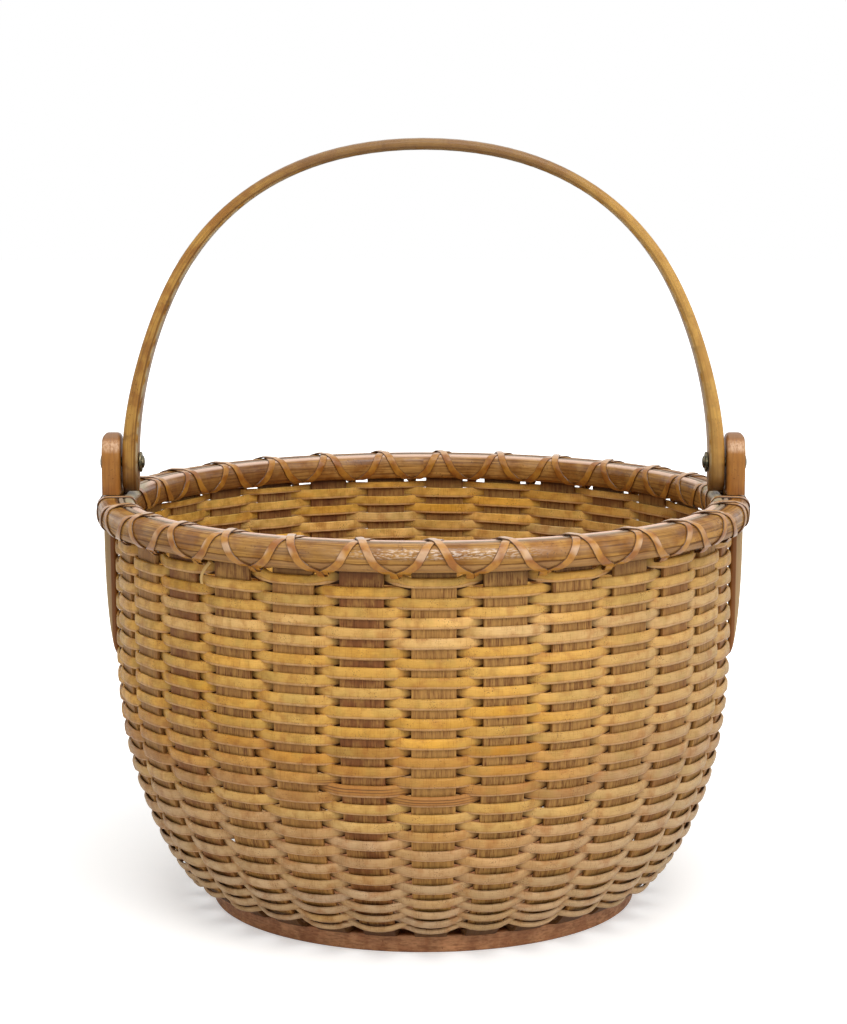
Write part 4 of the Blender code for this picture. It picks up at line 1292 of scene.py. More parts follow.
@dataclass
class Weave:
    """The side's weaving: canes joined end to end, over one stave and under the next.

    Crossing n is where the weaving passes stave n, counted on from the front stave and round
    again. The count is odd, so that an even crossing, outside, has odd ones above and below.
    """

    measures: Measures
    curve: SideCurve
    staves: Staves
    first_height: float = 0.0141
    last_height: float = 0.1457
    courses: int = 38
    first_course: float = -2.5
    last_course: float = 38.75
    width: float = 0.0042
    thickness: float = 0.0015
    pinch_share: float = 1.04
    pinch: Pair = (0.07, 0.18)
    plateau: float = 0.25
    bow: Pair = (0.0011, 0.0004)
    end_gap: float = 0.004
    inside_open: float = 0.24
    height_jitter: float = 0.00025
    packing: tuple[Pair, ...] = (
        (-3.5, -1.1), (-2, -0.5), (-1, -0.2), (0, 0.75), (2, 2.15), (4, 3.8), (6, 5.7), (8, 7.8),
        (10, 9.95), (11, 11), (38.3, 38.3), (38.5, 38.36), (39.2, 38.8),
    )
    narrowest: float = 0.5
    last_rise: Pair = (0.0003, 0.0018)
    last_spread: float = 0.45
    last_start: float = 0.75
    last_span: float = 0.2
    bow_reach: float = 0.34
    open_above: float = -0.3
    brightness_change: float = 0.085
    green_change: float = 0.045
    blue_change: float = 0.22
    ring_shares: tuple[float, ...] = (0, 0.16, 0.28, 0.36, 0.43, 0.5, 0.57, 0.64, 0.72, 0.84)
    section_shares: tuple[Pair, ...] = (
        (-0.84, -1), (-0.98, -0.62), (-1, -0.05), (-0.88, 0.52), (-0.66, 0.88), (0, 1),
        (0.66, 0.88), (0.88, 0.52), (1, -0.05), (0.98, -0.62), (0.84, -1),
    )
    tones: tuple[tuple[float, Tone], ...] = (
        (2.2, Tone.TAN), (6.8, Tone.TAN), (12.9, Tone.BROWN), (15.2, Tone.STRAW),
        (17.8, Tone.RUSSET), (21.15, Tone.AMBER), (25.85, Tone.GOLD), (31.2, Tone.GOLD),
        (34.85, Tone.PALE_GOLD), (37.2, Tone.GOLD), (38.75, Tone.GOLD),
    )

    def __post_init__(self) -> None:
        """Works out the rise of a course and the small irregularities of the handwork."""
        self.start_travel = self.curve.at_height(self.first_height)
        whole = self.curve.at_height(self.last_height) - self.start_travel
        self.course_rise = whole / self.courses
        count = self.measures.stave_count
        self.first_crossing = round(self.first_course * count) | 1
        self.last_crossing = round(self.last_course * count) | 1
        chance = np.random.default_rng(SEED)
        crossings = self.last_crossing - self.first_crossing + 3
        self.numbers = np.arange(crossings) + self.first_crossing - 1
        self.lifts = chance.normal(0, self.height_jitter * 0.6, crossings)
        self.widths = 1 + chance.normal(0, 0.035, crossings)
        self.shades = chance.normal(0, 1, (crossings, 2))

    @staticmethod
    def from_even(crossing: Array) -> Array:
        """The distance to the nearest even crossing, in crossings."""
        return np.abs((crossing + 1) % 2 - 1)

    def outside(self, crossing: Array) -> Array:
        """How far the cane lies outside: 1 over an even crossing, -1 behind an odd one."""
        return 1 - 2 * smooth_step((self.from_even(crossing) - self.plateau) / (1 - 2 * self.plateau))

    def packed(self, course: Array) -> Array:
        """Where a course lies, in even courses: the lowest and the last are beaten closer."""
        courses, places = np.array(self.packing).T
        return np.interp(course, courses, places)

    def narrowing(self, course: Array) -> Array:
        """The share of its width that the cane keeps where the courses lie closer."""
        return np.clip(self.packed(course + 0.5) - self.packed(course - 0.5), self.narrowest, 1)

    def rings(self, crossing: Array) -> tuple[Array, Array]:
        """The rings of a cane at crossings.

        Args:
            crossing: The place of each ring, in crossings.

        Returns:
            The rings' corners and the distance of each ring along the cane.
        """
        course = crossing / self.measures.stave_count
        side = self.outside(crossing)
        lift = np.interp(crossing, self.numbers, self.lifts)
        travel = self.start_travel + self.course_rise * self.packed(course) + lift
        angle = self.measures.phase + crossing * self.measures.pitch
        last = smooth_step((course - self.courses + self.last_start) / self.last_span)
        last = last * np.clip(np.cos(angle), 0, 1)
        last_behind = last * np.clip(1 - side, 0, 1)
        over, behind = self.last_rise
        travel = travel + over * last + (behind - over) * last_behind
        spread = np.interp(crossing, self.numbers, self.widths) * self.narrowing(course)
        flat_pinch, whole_pinch = self.pinch
        off_gap = np.abs(self.from_even(crossing) - 0.5)
        pinched = 1 - smooth_step((off_gap - flat_pinch) / (whole_pinch - flat_pinch))
        spread = spread * (1 - (1 - self.pinch_share) * pinched) * (1 + self.last_spread * last_behind)
        shares = np.array(self.section_shares)
        across = shares[None, :, 0] * spread[:, None] * self.width / 2
        off_stave = (crossing + 0.5) % 1 - 0.5
        bow = np.interp(course, (0, self.courses / 2), self.bow)
        bulge = bow * side * np.clip(1 - (off_stave / self.bow_reach) ** 2, 0, 1)
        sway = (self.curve.stave_thickness + self.thickness) / 2
        out = (sway * side + bulge)[:, None] + shares[None, :, 1] * self.thickness / 2
        radius, height = self.curve.off(travel[:, None] + across, out)
        radius_here, _ = self.curve.place(travel)
        edge = self.staves.width(travel) / 2 / radius_here
        flat = np.minimum(np.abs(off_stave) * self.measures.pitch, edge)
        radius = radius / np.cos(flat)[:, None]
        middle = around(radius.mean(axis=1), height.mean(axis=1), angle)
        return around(radius, height, angle[:, None]), run_length(middle)

    def tone_at(self, course: float) -> Array:
        """The colour of the cane at a course."""
        for upper, tone in self.tones:
            if course < upper:
                return np.array(tone.value)
        return np.array(self.tones[-1][1].value)

    def colours(self, crossing: Array, tone: Array) -> Array:
        """The colours of a cane's corners.

        Args:
            crossing: The place of each ring, in crossings.
            tone: The cane's own tone.

        Returns:
            The red, green, blue and open share of each corner, as (ring, corner, value).
        """
        shade, tint = (np.interp(crossing, self.numbers, layer) for layer in self.shades.T)
        colour = tone[None, :] * (1 + self.brightness_change * shade[:, None])
        colour[:, 2] *= 1 + self.blue_change * tint
        colour[:, 1] *= 1 + self.green_change * tint
        # The open share places the painted shade at the cane's tips.
        outside = 1 - self.from_even(crossing)[:, None]
        inside = self.inside_open + (1 - self.inside_open) * (1 - outside)
        shares = np.array(self.section_shares)
        open_share = np.where(shares[None, :, 1] > self.open_above, outside, inside)
        colour = np.repeat(colour[:, None], len(shares), axis=1)
        return np.concatenate([colour, open_share[:, :, None]], axis=2)

    def cane(self, number: int, first: int, last: int, material: Material) -> None:
        """Lays one cane, with its ends behind staves and butted to its neighbours'.

        Args:
            number: The cane's number, from 1 at the foot.
            first: The crossing that it starts at.
            last: The crossing that it ends at.
            material: Its finish.
        """
        whole = [step + share for step in range(first, last) for share in self.ring_shares]
        crossing = np.array([first + self.end_gap, *whole[1:], last - self.end_gap])
        rings, along = self.rings(crossing)
        shares = np.array(self.section_shares)
        across = np.append(shares[:, 0], shares[0, 0]) * self.width / 2
        tone = self.tone_at((first + last) / 2 / self.measures.stave_count)
        colours = self.colours(crossing, tone)
        piece = loft(f"weaver_{number:02d}", rings, across, along + number, colours)
        settle(piece, Body.BASKET, "weave_cane", material, "woven_wall")

    def build(self) -> None:
        """Weaves the side."""
        material = CaneFinish().material()
        count = self.measures.stave_count
        first = self.first_crossing
        for number, (upper, _) in enumerate(self.tones, start=1):
            last = min(round(upper * count) | 1, self.last_crossing)
            self.cane(number, first, last, material)
            first = last


@dataclass
class LooseEnd:
    """The end of a thin cane that sprang out of the weave and curled up under the outer hoop."""

    measures: Measures
    angles: Pair = (math.radians(-39.6), math.radians(-41.6))
    heights: Pair = (0.1490, 0.1405)
    stand_off: float = 0.0006
    bulge: float = 0.0009
    width: float = 0.0013
    thickness: float = 0.0004
    steps: int = 16

    def build(self) -> None:
        """Curls the end."""
        share = np.linspace(0, 1, self.steps)
        angle = self.angles[0] + (self.angles[1] - self.angles[0]) * np.sin(share * math.pi / 2)
        height = self.heights[0] + (self.heights[1] - self.heights[0]) * share
        radius = self.measures.wall_reach + self.stand_off + self.bulge * np.sin(share * math.pi)
        line = around(radius, height, angle)
        outward = around(np.ones(self.steps), np.zeros(self.steps), angle)
        piece = ribbon("curled_strand_end", line, outward, self.width, self.thickness)
        stain(piece, np.tile((*Tone.PALE_GOLD.value, 1.0), (len(piece.data.vertices), 1)))
        settle(piece, Body.BASKET, "weave_cane", bpy.data.materials["weave_cane"], "woven_wall")


@dataclass
class TurnedBase:
    """The turned base: a foot, the groove that holds the staves, and a smaller top."""

    measures: Measures
    foot_height: float = 0.0064
    groove_height: float = 0.0022
    groove_depth: float = 0.008
    top_step: float = 0.0017
    edge: float = 0.0009
    dish: float = 0.0004
    dish_shares: tuple[Pair, ...] = ((0, 1), (0.03, 0.8), (0.06, 0.3))
    dish_margin: float = 0.006
    lip_share: float = 0.4

    def profile(self) -> list[Pair]:
        """The turned outline, from the middle of the top round to the middle of the underside."""
        radius, top = self.measures.base_radius, self.measures.base_top
        top_radius = radius - self.top_step
        groove_radius = radius - self.groove_depth
        foot_top = self.foot_height
        groove_top = foot_top + self.groove_height
        edge = self.edge
        lip = self.lip_share * edge
        soft = [(1 - math.sin(turn), 1 - math.cos(turn)) for turn in np.linspace(0, math.pi / 2, 5)]
        return [
            *((span, top - self.dish * share) for span, share in self.dish_shares),
            (top_radius - self.dish_margin, top),
            *((top_radius - 2 * edge * a, top - 2 * edge * b) for a, b in soft),
            (top_radius, groove_top), (groove_radius, groove_top), (groove_radius, foot_top),
            *((radius - lip * a, foot_top - lip * b) for a, b in soft),
            *((radius - edge * b, edge * a) for a, b in soft),
            (0, 0),
        ]

    def build(self) -> None:
        """Turns the base."""
        piece = turned("turned_base", self.profile(), steps=232)
        material = WoodFinish(
            "base_wood",
            light=(0.60, 0.285, 0.125), middle=(0.44, 0.185, 0.078), dark=(0.12, 0.040, 0.016),
            roughness=0.40, streaks=1500.0, stretch=7.0, contrast=0.6, blotch_size=0.008, coat=0.1,
            places=Places.RIM,
        ).material()
        settle(piece, Body.BASKET, "base_wood", material, "base_plate")


@dataclass
class Hoops:
    """The two bent hoops that clamp the staves' tops, and the cane that covers the tops."""

    measures: Measures
    outer_round: Pair = (0.0022, 0.0026)
    inner_round: Pair = (0.0016, 0.0022)
    overrun: float = 0.003
    cutter_height: float = 0.04
    easing: float = 0.0025
    seat_easing: float = 0.0011
    cane_steps: int = 116
    cane_rounding: float = 0.0005

    def outer_section(self) -> list[Pair]:
        """The outer hoop's section, flat inside and rounded outside."""
        inner, outer = self.measures.outer_hoop
        inset, rise = self.outer_round
        low, high = self.measures.rim_bottom, self.measures.rim_top
        return [
            (outer - inset, high), (outer, high - rise), (outer, low + rise),
            (outer - inset, low), (inner, low), (inner, high),
        ]

    def inner_section(self) -> list[Pair]:
        """The inner hoop's section, flat outside and rounded inside."""
        inner, outer = self.measures.inner_hoop
        inset, rise = self.inner_round
        low, high = self.measures.rim_bottom, self.measures.rim_top
        return [
            (outer, high), (outer, low), (inner + inset, low),
            (inner, low + rise), (inner, high - rise), (inner + inset, high),
        ]

    def hoop(self, name: str, section: list[Pair], seat: float) -> Piece:
        """A hoop of a section, eased all round and less at its seat, the side at the staves."""
        reaches = [self.seat_easing if abs(radius - seat) < WELD else self.easing for radius, _ in section]
        outline = [tuple(point) for point in eased(section, reaches)]
        return turned(name, outline, steps=232, closed=True)

    def notch(self, hoop: Piece, side: Side) -> None:
        """Cuts the outer hoop for an ear's neck."""
        low = self.measures.outer_hoop[0] - self.overrun
        high = self.measures.neck_inner + EAR_NECK_THICKNESS + GAP
        deselect_all()
        bpy.ops.mesh.primitive_cube_add(
            size=1, location=(side.value * (low + high) / 2, 0, self.measures.rim_top)
        )
        cutter = bpy.context.object
        take(cutter)
        bpy.ops.transform.resize(value=(high - low, EAR_NECK_WIDTH + 2 * GAP, self.cutter_height))
        apply_modifier(hoop, "BOOLEAN", operation="DIFFERENCE", object=cutter)
        bpy.data.objects.remove(cutter)

    def rim_cane(self, name: str, start: float, sweep: float, across: Pair) -> Piece:
        """One strip of cane over the staves' tops.

        Args:
            name: The piece's name.
            start: The angle that it starts at.
            sweep: The angle that it runs on for.
            across: Its inner and its outer radius.

        Returns:
            The strip, closed at both ends.
        """
        low, high = self.measures.rim_cane
        half_width, half_depth = (across[1] - across[0]) / 2, (high - low) / 2
        section = slab_section(half_width, half_depth, self.cane_rounding, steps=2)
        angles = start + sweep * np.linspace(0, 1, self.cane_steps + 1)
        radius = (across[0] + across[1]) / 2 + section[None, :, 0]
        height = (low + high) / 2 + section[None, :, 1]
        rings = around(radius, height, angles[:, None])
        return loft(name, rings, girth(section), angles * across[1])

    def build(self) -> None:
        """Makes both hoops and both strips of cane."""
        measures = self.measures
        wood = HoopFinish(
            "hoop_wood",
            light=(0.52, 0.265, 0.060), middle=(0.33, 0.135, 0.022), dark=(0.09, 0.031, 0.008),
            roughness=0.36, streaks=1300.0, stretch=40.0, contrast=0.85, blotch_size=0.010, ripple=2.2,
            specular=0.12, places=Places.RIM,
            bottom=measures.rim_bottom, top=measures.rim_top, seat=measures.wall_radius,
        ).material()
        inner = self.hoop("bent_inner_hoop", self.inner_section(), measures.inner_hoop[1])
        settle(inner, Body.BASKET, "hoop_wood", wood, "inner_hoop")
        outer = self.hoop("bent_outer_hoop", self.outer_section(), measures.outer_hoop[0])
        for side in Side:
            self.notch(outer, side)
        settle(outer, Body.BASKET, "hoop_wood", wood, "outer_hoop")
        cane = WoodFinish(
            "rim_cane",
            light=(0.44, 0.34, 0.25), middle=(0.34, 0.25, 0.17), dark=(0.14, 0.085, 0.05),
            roughness=0.4, streaks=1500.0, stretch=60.0, contrast=0.4,
        ).material()
        across = (measures.inner_hoop[1] + GAP, measures.outer_hoop[0] - GAP)
        for word in ("front", "back"):
            low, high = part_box(f"rim_cane_{word}")
            stop = math.asin(min(abs(low.y), abs(high.y)) / across[0])
            start = -math.pi / 2 + stop if word == "front" else math.pi / 2 + stop
            piece = self.rim_cane(f"rim_strip_{word}", start, math.pi - 2 * stop, across)
            settle(piece, Body.BASKET, "rim_cane", cane, f"rim_cane_{word}")


@dataclass
class Handle:
    """The bentwood bow: two Bezier arcs on each side that meet at a shoulder."""

    measures: Measures
    width: float = 0.013
    foot_thickness: float = 0.0061
    top_thickness: float = 0.0053
    bend_slimming: float = 0.0009
    slimming_rise: float = 0.05
    rounding: float = 0.0019
    shoulder_span_share: float = 0.835
    shoulder_rise_share: float = 0.582
    shoulder_lean: float = math.radians(28.7)
    foot_pull_share: float = 0.201
    shoulder_pull_share: float = 0.168
    crown_pull_share: float = 0.528
    steps: int = 26
    foot_steps: int = 9
    foot_turn: float = math.radians(88)

    def half_line(self) -> list[Vector]:
        """The middle line from the crown to the pivot, as (across, rise over the pivot)."""
        rise = self.measures.bow_high.z - self.measures.pivot_height - self.top_thickness / 2
        span = self.measures.leg_outer - self.foot_thickness / 2
        lean = Vector((-math.sin(self.shoulder_lean), math.cos(self.shoulder_lean)))
        foot = Vector((span, 0))
        foot_pull = foot + Vector((0, rise * self.foot_pull_share))
        shoulder = Vector((span * self.shoulder_span_share, rise * self.shoulder_rise_share))
        pull = lean * rise * self.shoulder_pull_share
        crown = Vector((0, rise))
        crown_pull = Vector((span * self.crown_pull_share, rise))
        upper = interpolate_bezier(crown, crown_pull, shoulder + pull, shoulder, self.steps)
        lower = interpolate_bezier(shoulder, shoulder - pull, foot_pull, foot, self.steps)
        return [Vector(point[:2]) for point in upper + lower[1:]]

    def outline(self) -> tuple[list[Vector], list[float]]:
        """The middle line from foot to foot, as (across, rise over the pivot), and its half widths."""
        half = self.width / 2
        foot_centre = half - (self.measures.pivot_height - self.measures.bow_low.z)
        line = self.half_line()
        drops = [foot_centre * share for share in (0.5, 1.0)]
        widths = [half] * (len(line) + len(drops))
        for step in range(1, self.foot_steps + 1):
            turn = self.foot_turn * step / self.foot_steps
            drops.append(foot_centre - half * math.sin(turn))
            widths.append(half * math.cos(turn))
        line += [Vector((line[-1].x, drop)) for drop in drops]
        points = [Vector((-point.x, point.y)) for point in line[:0:-1]] + line
        return points, widths[:0:-1] + widths

    def rings(self, points: list[Vector], widths: list[float]) -> Array:
        """The rings about the middle line, thinner towards the crown and over the bends."""
        crown = max(point.y for point in points)
        rings = []
        for place, (point, wide) in enumerate(zip(points, widths)):
            before, after = points[max(place - 1, 0)], points[min(place + 1, len(points) - 1)]
            along = (after - before).normalized()
            share = max(point.y, 0) / crown
            depth = self.foot_thickness + (self.top_thickness - self.foot_thickness) * share
            slimming = self.bend_slimming * float(smooth_step(point.y / self.slimming_rise))
            section = slab_section(wide, (depth - slimming) / 2, self.rounding, steps=4)
            reach = section[:, 1] + slimming / 2 * share
            x = point.x - reach * along.y
            z = self.measures.pivot_height + point.y + reach * along.x
            rings.append(np.stack([x, section[:, 0], z], axis=-1))
        return np.array(rings)

    def build(self) -> None:
        """Bends the bow, rounds its feet and bores them."""
        measures = self.measures
        points, widths = self.outline()
        girths = girth(slab_section(self.width / 2, self.foot_thickness / 2, self.rounding, steps=4))
        along = run_length(np.array([tuple(point) for point in points]))
        piece = loft("bent_bow", self.rings(points, widths), girths, along)
        reach = measures.leg_outer + self.foot_thickness
        bore(piece, BORE_RADIUS, -reach, reach, measures.pivot_height)
        material = HandleFinish(
            "handle_wood",
            light=(0.56, 0.30, 0.06), middle=(0.38, 0.165, 0.028), dark=(0.10, 0.038, 0.010),
            roughness=0.32, streaks=1200.0, stretch=40.0, contrast=0.6, blotch_size=0.008, coat=0.15,
            pivot=measures.pivot_height, top=measures.bow_high.z,
        ).material()
        settle(piece, Body.HANDLE, "handle_wood", material, "handle_bow")


@dataclass
class Ear:
    """A carved ear: a round head with the rivet, a neck in the hoop and a tail in the weave."""

    measures: Measures
    side: Side
    tail_thickness: float = 0.0048
    tip_thickness: float = 0.0009
    tip_width: float = 0.004
    rounding: float = 0.0012
    crown_rounding: float = 0.0024
    taper_powers: Pair = (2.6, 0.625)
    tail_steps: int = 26
    shoulder_rise: float = 0.0004
    head_steps: int = 6
    crown_degrees: tuple[float, ...] = (12, 24, 36, 46, 55, 63, 70, 76, 81, 85, 88.5)
    inner_rounding_share: float = 0.6
    drill: Pair = (0.1, 0.14)

    def tail_levels(self, ledge: float) -> list[tuple[float, float, float, float]]:
        """The tail's levels from its tip to the ledge under the hoop.

        Args:
            ledge: The ledge's height.

        Returns:
            The levels, as (height, half width, inner radius, outer radius).
        """
        inner = self.measures.neck_inner
        length = ledge - self.measures.ear_low.z
        levels = []
        for share in np.linspace(1, 0, self.tail_steps):
            swell = (1 - share ** self.taper_powers[0]) ** self.taper_powers[1]
            thick = self.tip_thickness + (self.tail_thickness - self.tip_thickness) * swell
            half = (EAR_NECK_WIDTH + (self.tip_width - EAR_NECK_WIDTH) * share) / 2
            levels.append((ledge - length * share, half, inner, inner + thick))
        return levels

    def head_levels(self, shoulder: float) -> list[tuple[float, float, float, float]]:
        """The head's levels from its shoulder on the hoop to its crown.

        Args:
            shoulder: The shoulder's height.

        Returns:
            The levels, in the same terms as the tail's.
        """
        low, high = self.measures.ear_low, self.measures.ear_high
        half_head = EAR_HEAD_WIDTH / 2
        centre = high.z - half_head
        heights = np.concatenate([
            [shoulder], np.linspace(shoulder + self.shoulder_rise, centre, self.head_steps),
            centre + half_head * np.sin(np.radians(self.crown_degrees)),
        ])
        levels = []
        for height in heights:
            above = max(height - centre, 0)
            half = math.sqrt(max(half_head**2 - above**2, 0))
            past = max(height - (high.z - self.crown_rounding), 0)
            shrink = self.crown_rounding - math.sqrt(max(self.crown_rounding**2 - past**2, 0))
            levels.append((height, half, low.x + shrink * self.inner_rounding_share, high.x - shrink))
        return levels

    def build(self, material: Material) -> None:
        """Carves the ear and bores it."""
        ledge, shoulder = self.measures.rim_bottom - GAP, self.measures.rim_top + 2 * GAP
        inner = self.measures.neck_inner
        neck = (EAR_NECK_WIDTH / 2, inner, inner + EAR_NECK_THICKNESS)
        levels = [*self.tail_levels(ledge), (ledge, *neck), (shoulder, *neck), *self.head_levels(shoulder)]
        rings = []
        for height, half, inner, outer in levels:
            section = slab_section(half, (outer - inner) / 2, self.rounding, steps=3)
            x = self.side.value * ((inner + outer) / 2 + section[:, 1])
            rings.append(np.stack([x, section[:, 0], np.full(len(section), height)], axis=-1))
        heights = np.array([level[0] for level in levels])
        word = self.side.word
        piece = loft(f"carved_ear_{word}", np.array(rings), girth(section), heights)
        low, high = sorted(self.side.value * edge for edge in self.drill)
        bore(piece, BORE_RADIUS, low, high, self.measures.pivot_height)
        settle(piece, Body.BASKET, "ear_wood", material, f"ear_{word}")


@dataclass
class Lashing:
    """The strands of cane that bind the hoops, two of opposite hand in front and two behind.

    Each is laid over the rim's girth, which starts under the hoops and runs up the outer
    face, over the top and down the inner face. A strand passes under the hoops at the gaps
    between staves and over them at the staves, where it crosses the strand of other hand.
    """

    measures: Measures
    hoops: Hoops
    width: float = 0.0031
    thickness: float = 0.0006
    spread: float = 0.0021
    low_spread: float = 0.0011
    face_bends: tuple[Pair, ...] = ((0.08, 0.0033), (0.34, 0.0069))
    ear_pass_share: float = 2 / 3
    ear_rise_shares: Pair = (0.25, 0.86)
    end_gap: float = 0.001
    contact: float = 0.00005
    crossing_reach: float = 0.0022
    crossing_slope: float = 0.0030
    smoothing: float = 0.0032
    sag: float = 0.0015
    back_shift: float = 0.0015
    sag_reach: float = 0.0025
    sag_slope: float = 0.003
    step: float = 0.0007

    def __post_init__(self) -> None:
        """Works out the rim's girth."""
        outer = self.hoops.outer_section()[3::-1]
        inner = self.hoops.inner_section()[:1:-1]
        outline = eased(outer + inner, [self.hoops.easing] * (len(outer) + len(inner)), steps=10)
        low_right = np.argmin(np.linalg.norm(outline - np.array(outer[0]), axis=1))
        outline = np.roll(outline, -low_right, axis=0)
        middle = np.array([[(outer[0][0] + inner[-1][0]) / 2, self.measures.rim_bottom]])
        self.line = np.concatenate([middle, outline, middle])
        keep = np.linalg.norm(np.diff(self.line, axis=0), axis=1) > WELD
        self.line = self.line[np.append(True, keep)]
        self.travel = run_length(self.line)
        self.whole = float(self.travel[-1])
        self.outer_top = self.at_corner(outer[3])
        self.inner_top = self.at_corner(inner[0])
        self.outer_low = self.at_corner(outer[0])
        self.inner_low = self.at_corner(inner[-1])
        self.top = (self.outer_top + self.inner_top) / 2

    def at_corner(self, corner: Pair) -> float:
        """The place on the girth that is nearest to a corner of the hoops."""
        return float(self.travel[np.argmin(np.linalg.norm(self.line - np.array(corner), axis=1))])

    def on_rim(self, girth_place: Array) -> tuple[Array, Array]:
        """Points of the girth, as (radius, height) rows, and its outward directions there."""
        place = np.mod(girth_place, self.whole)
        point = np.stack([np.interp(place, self.travel, self.line[:, axis]) for axis in (0, 1)], axis=-1)
        ahead, behind = (
            np.stack([np.interp(np.mod(place + step, self.whole), self.travel, self.line[:, axis])
                      for axis in (0, 1)], axis=-1)
            for step in (self.width / 6, -self.width / 6)
        )
        along = ahead - behind
        along /= np.linalg.norm(along, axis=1)[:, None]
        return point, np.stack([along[:, 1], -along[:, 0]], axis=-1)

    def stave_wrap(self, start: float, gap_angle: float, way: int) -> list[Pair]:
        """One turn of a strand over a stave.

        Args:
            start: The place on the girth under the hoops.
            gap_angle: The angle of the gap that it comes up through.
            way: 1 towards greater angles, -1 towards lesser ones.

        Returns:
            The turn as (place on the girth, angle) from one gap to the next.
        """
        turn = way / self.measures.wall_radius
        spread, low = self.spread * turn, self.low_spread * turn
        apex = gap_angle + way * self.measures.pitch / 2
        next_gap = gap_angle + way * self.measures.pitch
        outer, inner = start + self.outer_low, start + self.inner_low
        face = self.outer_top - self.outer_low
        up = [(outer + face * share, gap_angle + size * turn) for share, size in self.face_bends]
        down = [(inner - face * share, next_gap - size * turn) for share, size in self.face_bends]
        return [
            (start, gap_angle), (outer, gap_angle + low), *up,
            (start + self.outer_top, apex - spread), (start + self.top, apex),
            (start + self.inner_top, apex + spread), *reversed(down), (inner, next_gap - low),
        ]

    def ear_wrap(
        self, start: float, gap_angle: float, next_gap: float, way: int
    ) -> list[Pair]:
        """The turn that passes across the front of an ear's neck and over the rim beyond it.

        Args:
            start: The place on the girth under the hoops.
            gap_angle: The angle of the gap that it comes up through.
            next_gap: The angle of the gap past the ear.
            way: 1 towards greater angles, -1 towards lesser ones.

        Returns:
            The turn as (place on the girth, angle).
        """
        spread = way * self.spread / self.measures.wall_radius
        ears = [side.value * math.pi / 2 for side in Side]
        nearest = min(ears, key=lambda ear: abs(turn_between(ear, gap_angle)))
        ear = gap_angle + turn_between(gap_angle, nearest)
        clear = EAR_HEAD_WIDTH / 2 + 2 * GAP + self.width * self.ear_pass_share
        beyond = ear + way * clear / self.measures.outer_hoop[0]
        low_share, high_share = self.ear_rise_shares
        low = self.outer_low + (self.outer_top - self.outer_low) * low_share
        return [
            (start, gap_angle), (start + self.outer_low, gap_angle + spread),
            (start + low, gap_angle + 2 * spread),
            (start + self.outer_top * high_share, beyond - spread * 0.5),
            (start + self.outer_top, beyond), (start + self.inner_top, beyond),
            (start + self.inner_low, next_gap - spread),
        ]

    def strand(
        self, name: str, path: list[Pair], crossings: list[float], raised: bool
    ) -> Piece:
        """A strand of flat cane along its path.

        Args:
            name: The piece's name.
            path: The path as (place on the girth, angle).
            crossings: The places where it crosses the strand of other hand.
            raised: Whether it lies on top there.

        Returns:
            The strand.
        """
        places, angles = np.array(path).T
        radius = self.measures.wall_radius
        whole = run_length(np.stack([places, angles * radius], axis=-1))
        count = int(whole[-1] / self.step)
        fine = np.linspace(0, whole[-1], count)
        place = np.interp(fine, whole, places)
        angle = np.interp(fine, whole, angles)
        window = max(int(self.smoothing / self.step) | 1, 3)
        kernel = np.hanning(window + 2)[1:-1]
        kernel /= kernel.sum()
        edge = window // 2
        for values in (place, angle):
            padded = np.pad(values, edge, mode="reflect", reflect_type="odd")
            values[:] = np.convolve(padded, kernel, mode="valid")
        height = np.full(count, self.contact + self.thickness / 2)
        if raised:
            away = np.min(np.abs(place[:, None] - np.array(crossings)[None, :]), axis=1)
            near = 1 - smooth_step((away - self.crossing_reach) / self.crossing_slope)
            height += near * (self.thickness + self.contact)
        under = np.abs(np.mod(place + self.whole / 2, self.whole) - self.whole / 2)
        height += self.sag * (1 - smooth_step((under - self.sag_reach) / self.sag_slope))
        point, outward_flat = self.on_rim(place)
        point = point + outward_flat * height[:, None]
        centre = around(point[:, 0], point[:, 1], angle)
        outward = around(outward_flat[:, 0], outward_flat[:, 1], angle)
        return ribbon(name, centre, outward, self.width, self.thickness)

    def gap(self, number: int) -> float:
        """The angle of a gap, counted from the one past the front stave."""
        return self.measures.phase + (number + 0.5) * self.measures.pitch

    def off_ears(self, angle: float, ear_width: float) -> bool:
        """Whether a strand at an angle is clear of both ears, where they are as wide as given."""
        strand = self.spread + self.width / 2 + GAP
        reach = (ear_width / 2 + strand) / self.measures.outer_hoop[1]
        return all(abs(turn_between(side.value * math.pi / 2, angle)) > reach for side in Side)

    def clear(self, stave: int) -> bool:
        """Whether a stave is clear of the ears' heads and both its gaps are of their necks."""
        apex = self.measures.phase + stave * self.measures.pitch
        gaps = (self.gap(stave - 1), self.gap(stave))
        return self.off_ears(apex, EAR_HEAD_WIDTH) and all(
            self.off_ears(gap, EAR_NECK_WIDTH) for gap in gaps
        )

    def runs(self) -> list[tuple[str, float, int, float, int]]:
        """The strands, as (name, first angle, turns, last angle, way round)."""
        whole = self.measures.stave_count
        half = whole // 2
        front_last = next(stave for stave in range(whole) if not self.clear(stave + 1))
        front_first = -next(stave for stave in range(whole) if not self.clear(-stave - 1))
        back_first = half - next(step for step in range(half) if not self.clear(half - step - 1))
        back_last = half + next(step for step in range(half) if not self.clear(half + step + 1))
        front, back = front_last - front_first + 1, back_last - back_first + 1
        return [
            ("front_forward", self.gap(front_first - 1), front, self.gap(back_first - 1), 1),
            ("front_return", self.gap(front_last), front, self.gap(back_last - whole), -1),
            ("back_forward", self.gap(back_first - 1), back, self.gap(front_first - 1 + whole), 1),
            ("back_return", self.gap(back_last), back, self.gap(front_last), -1),
        ]

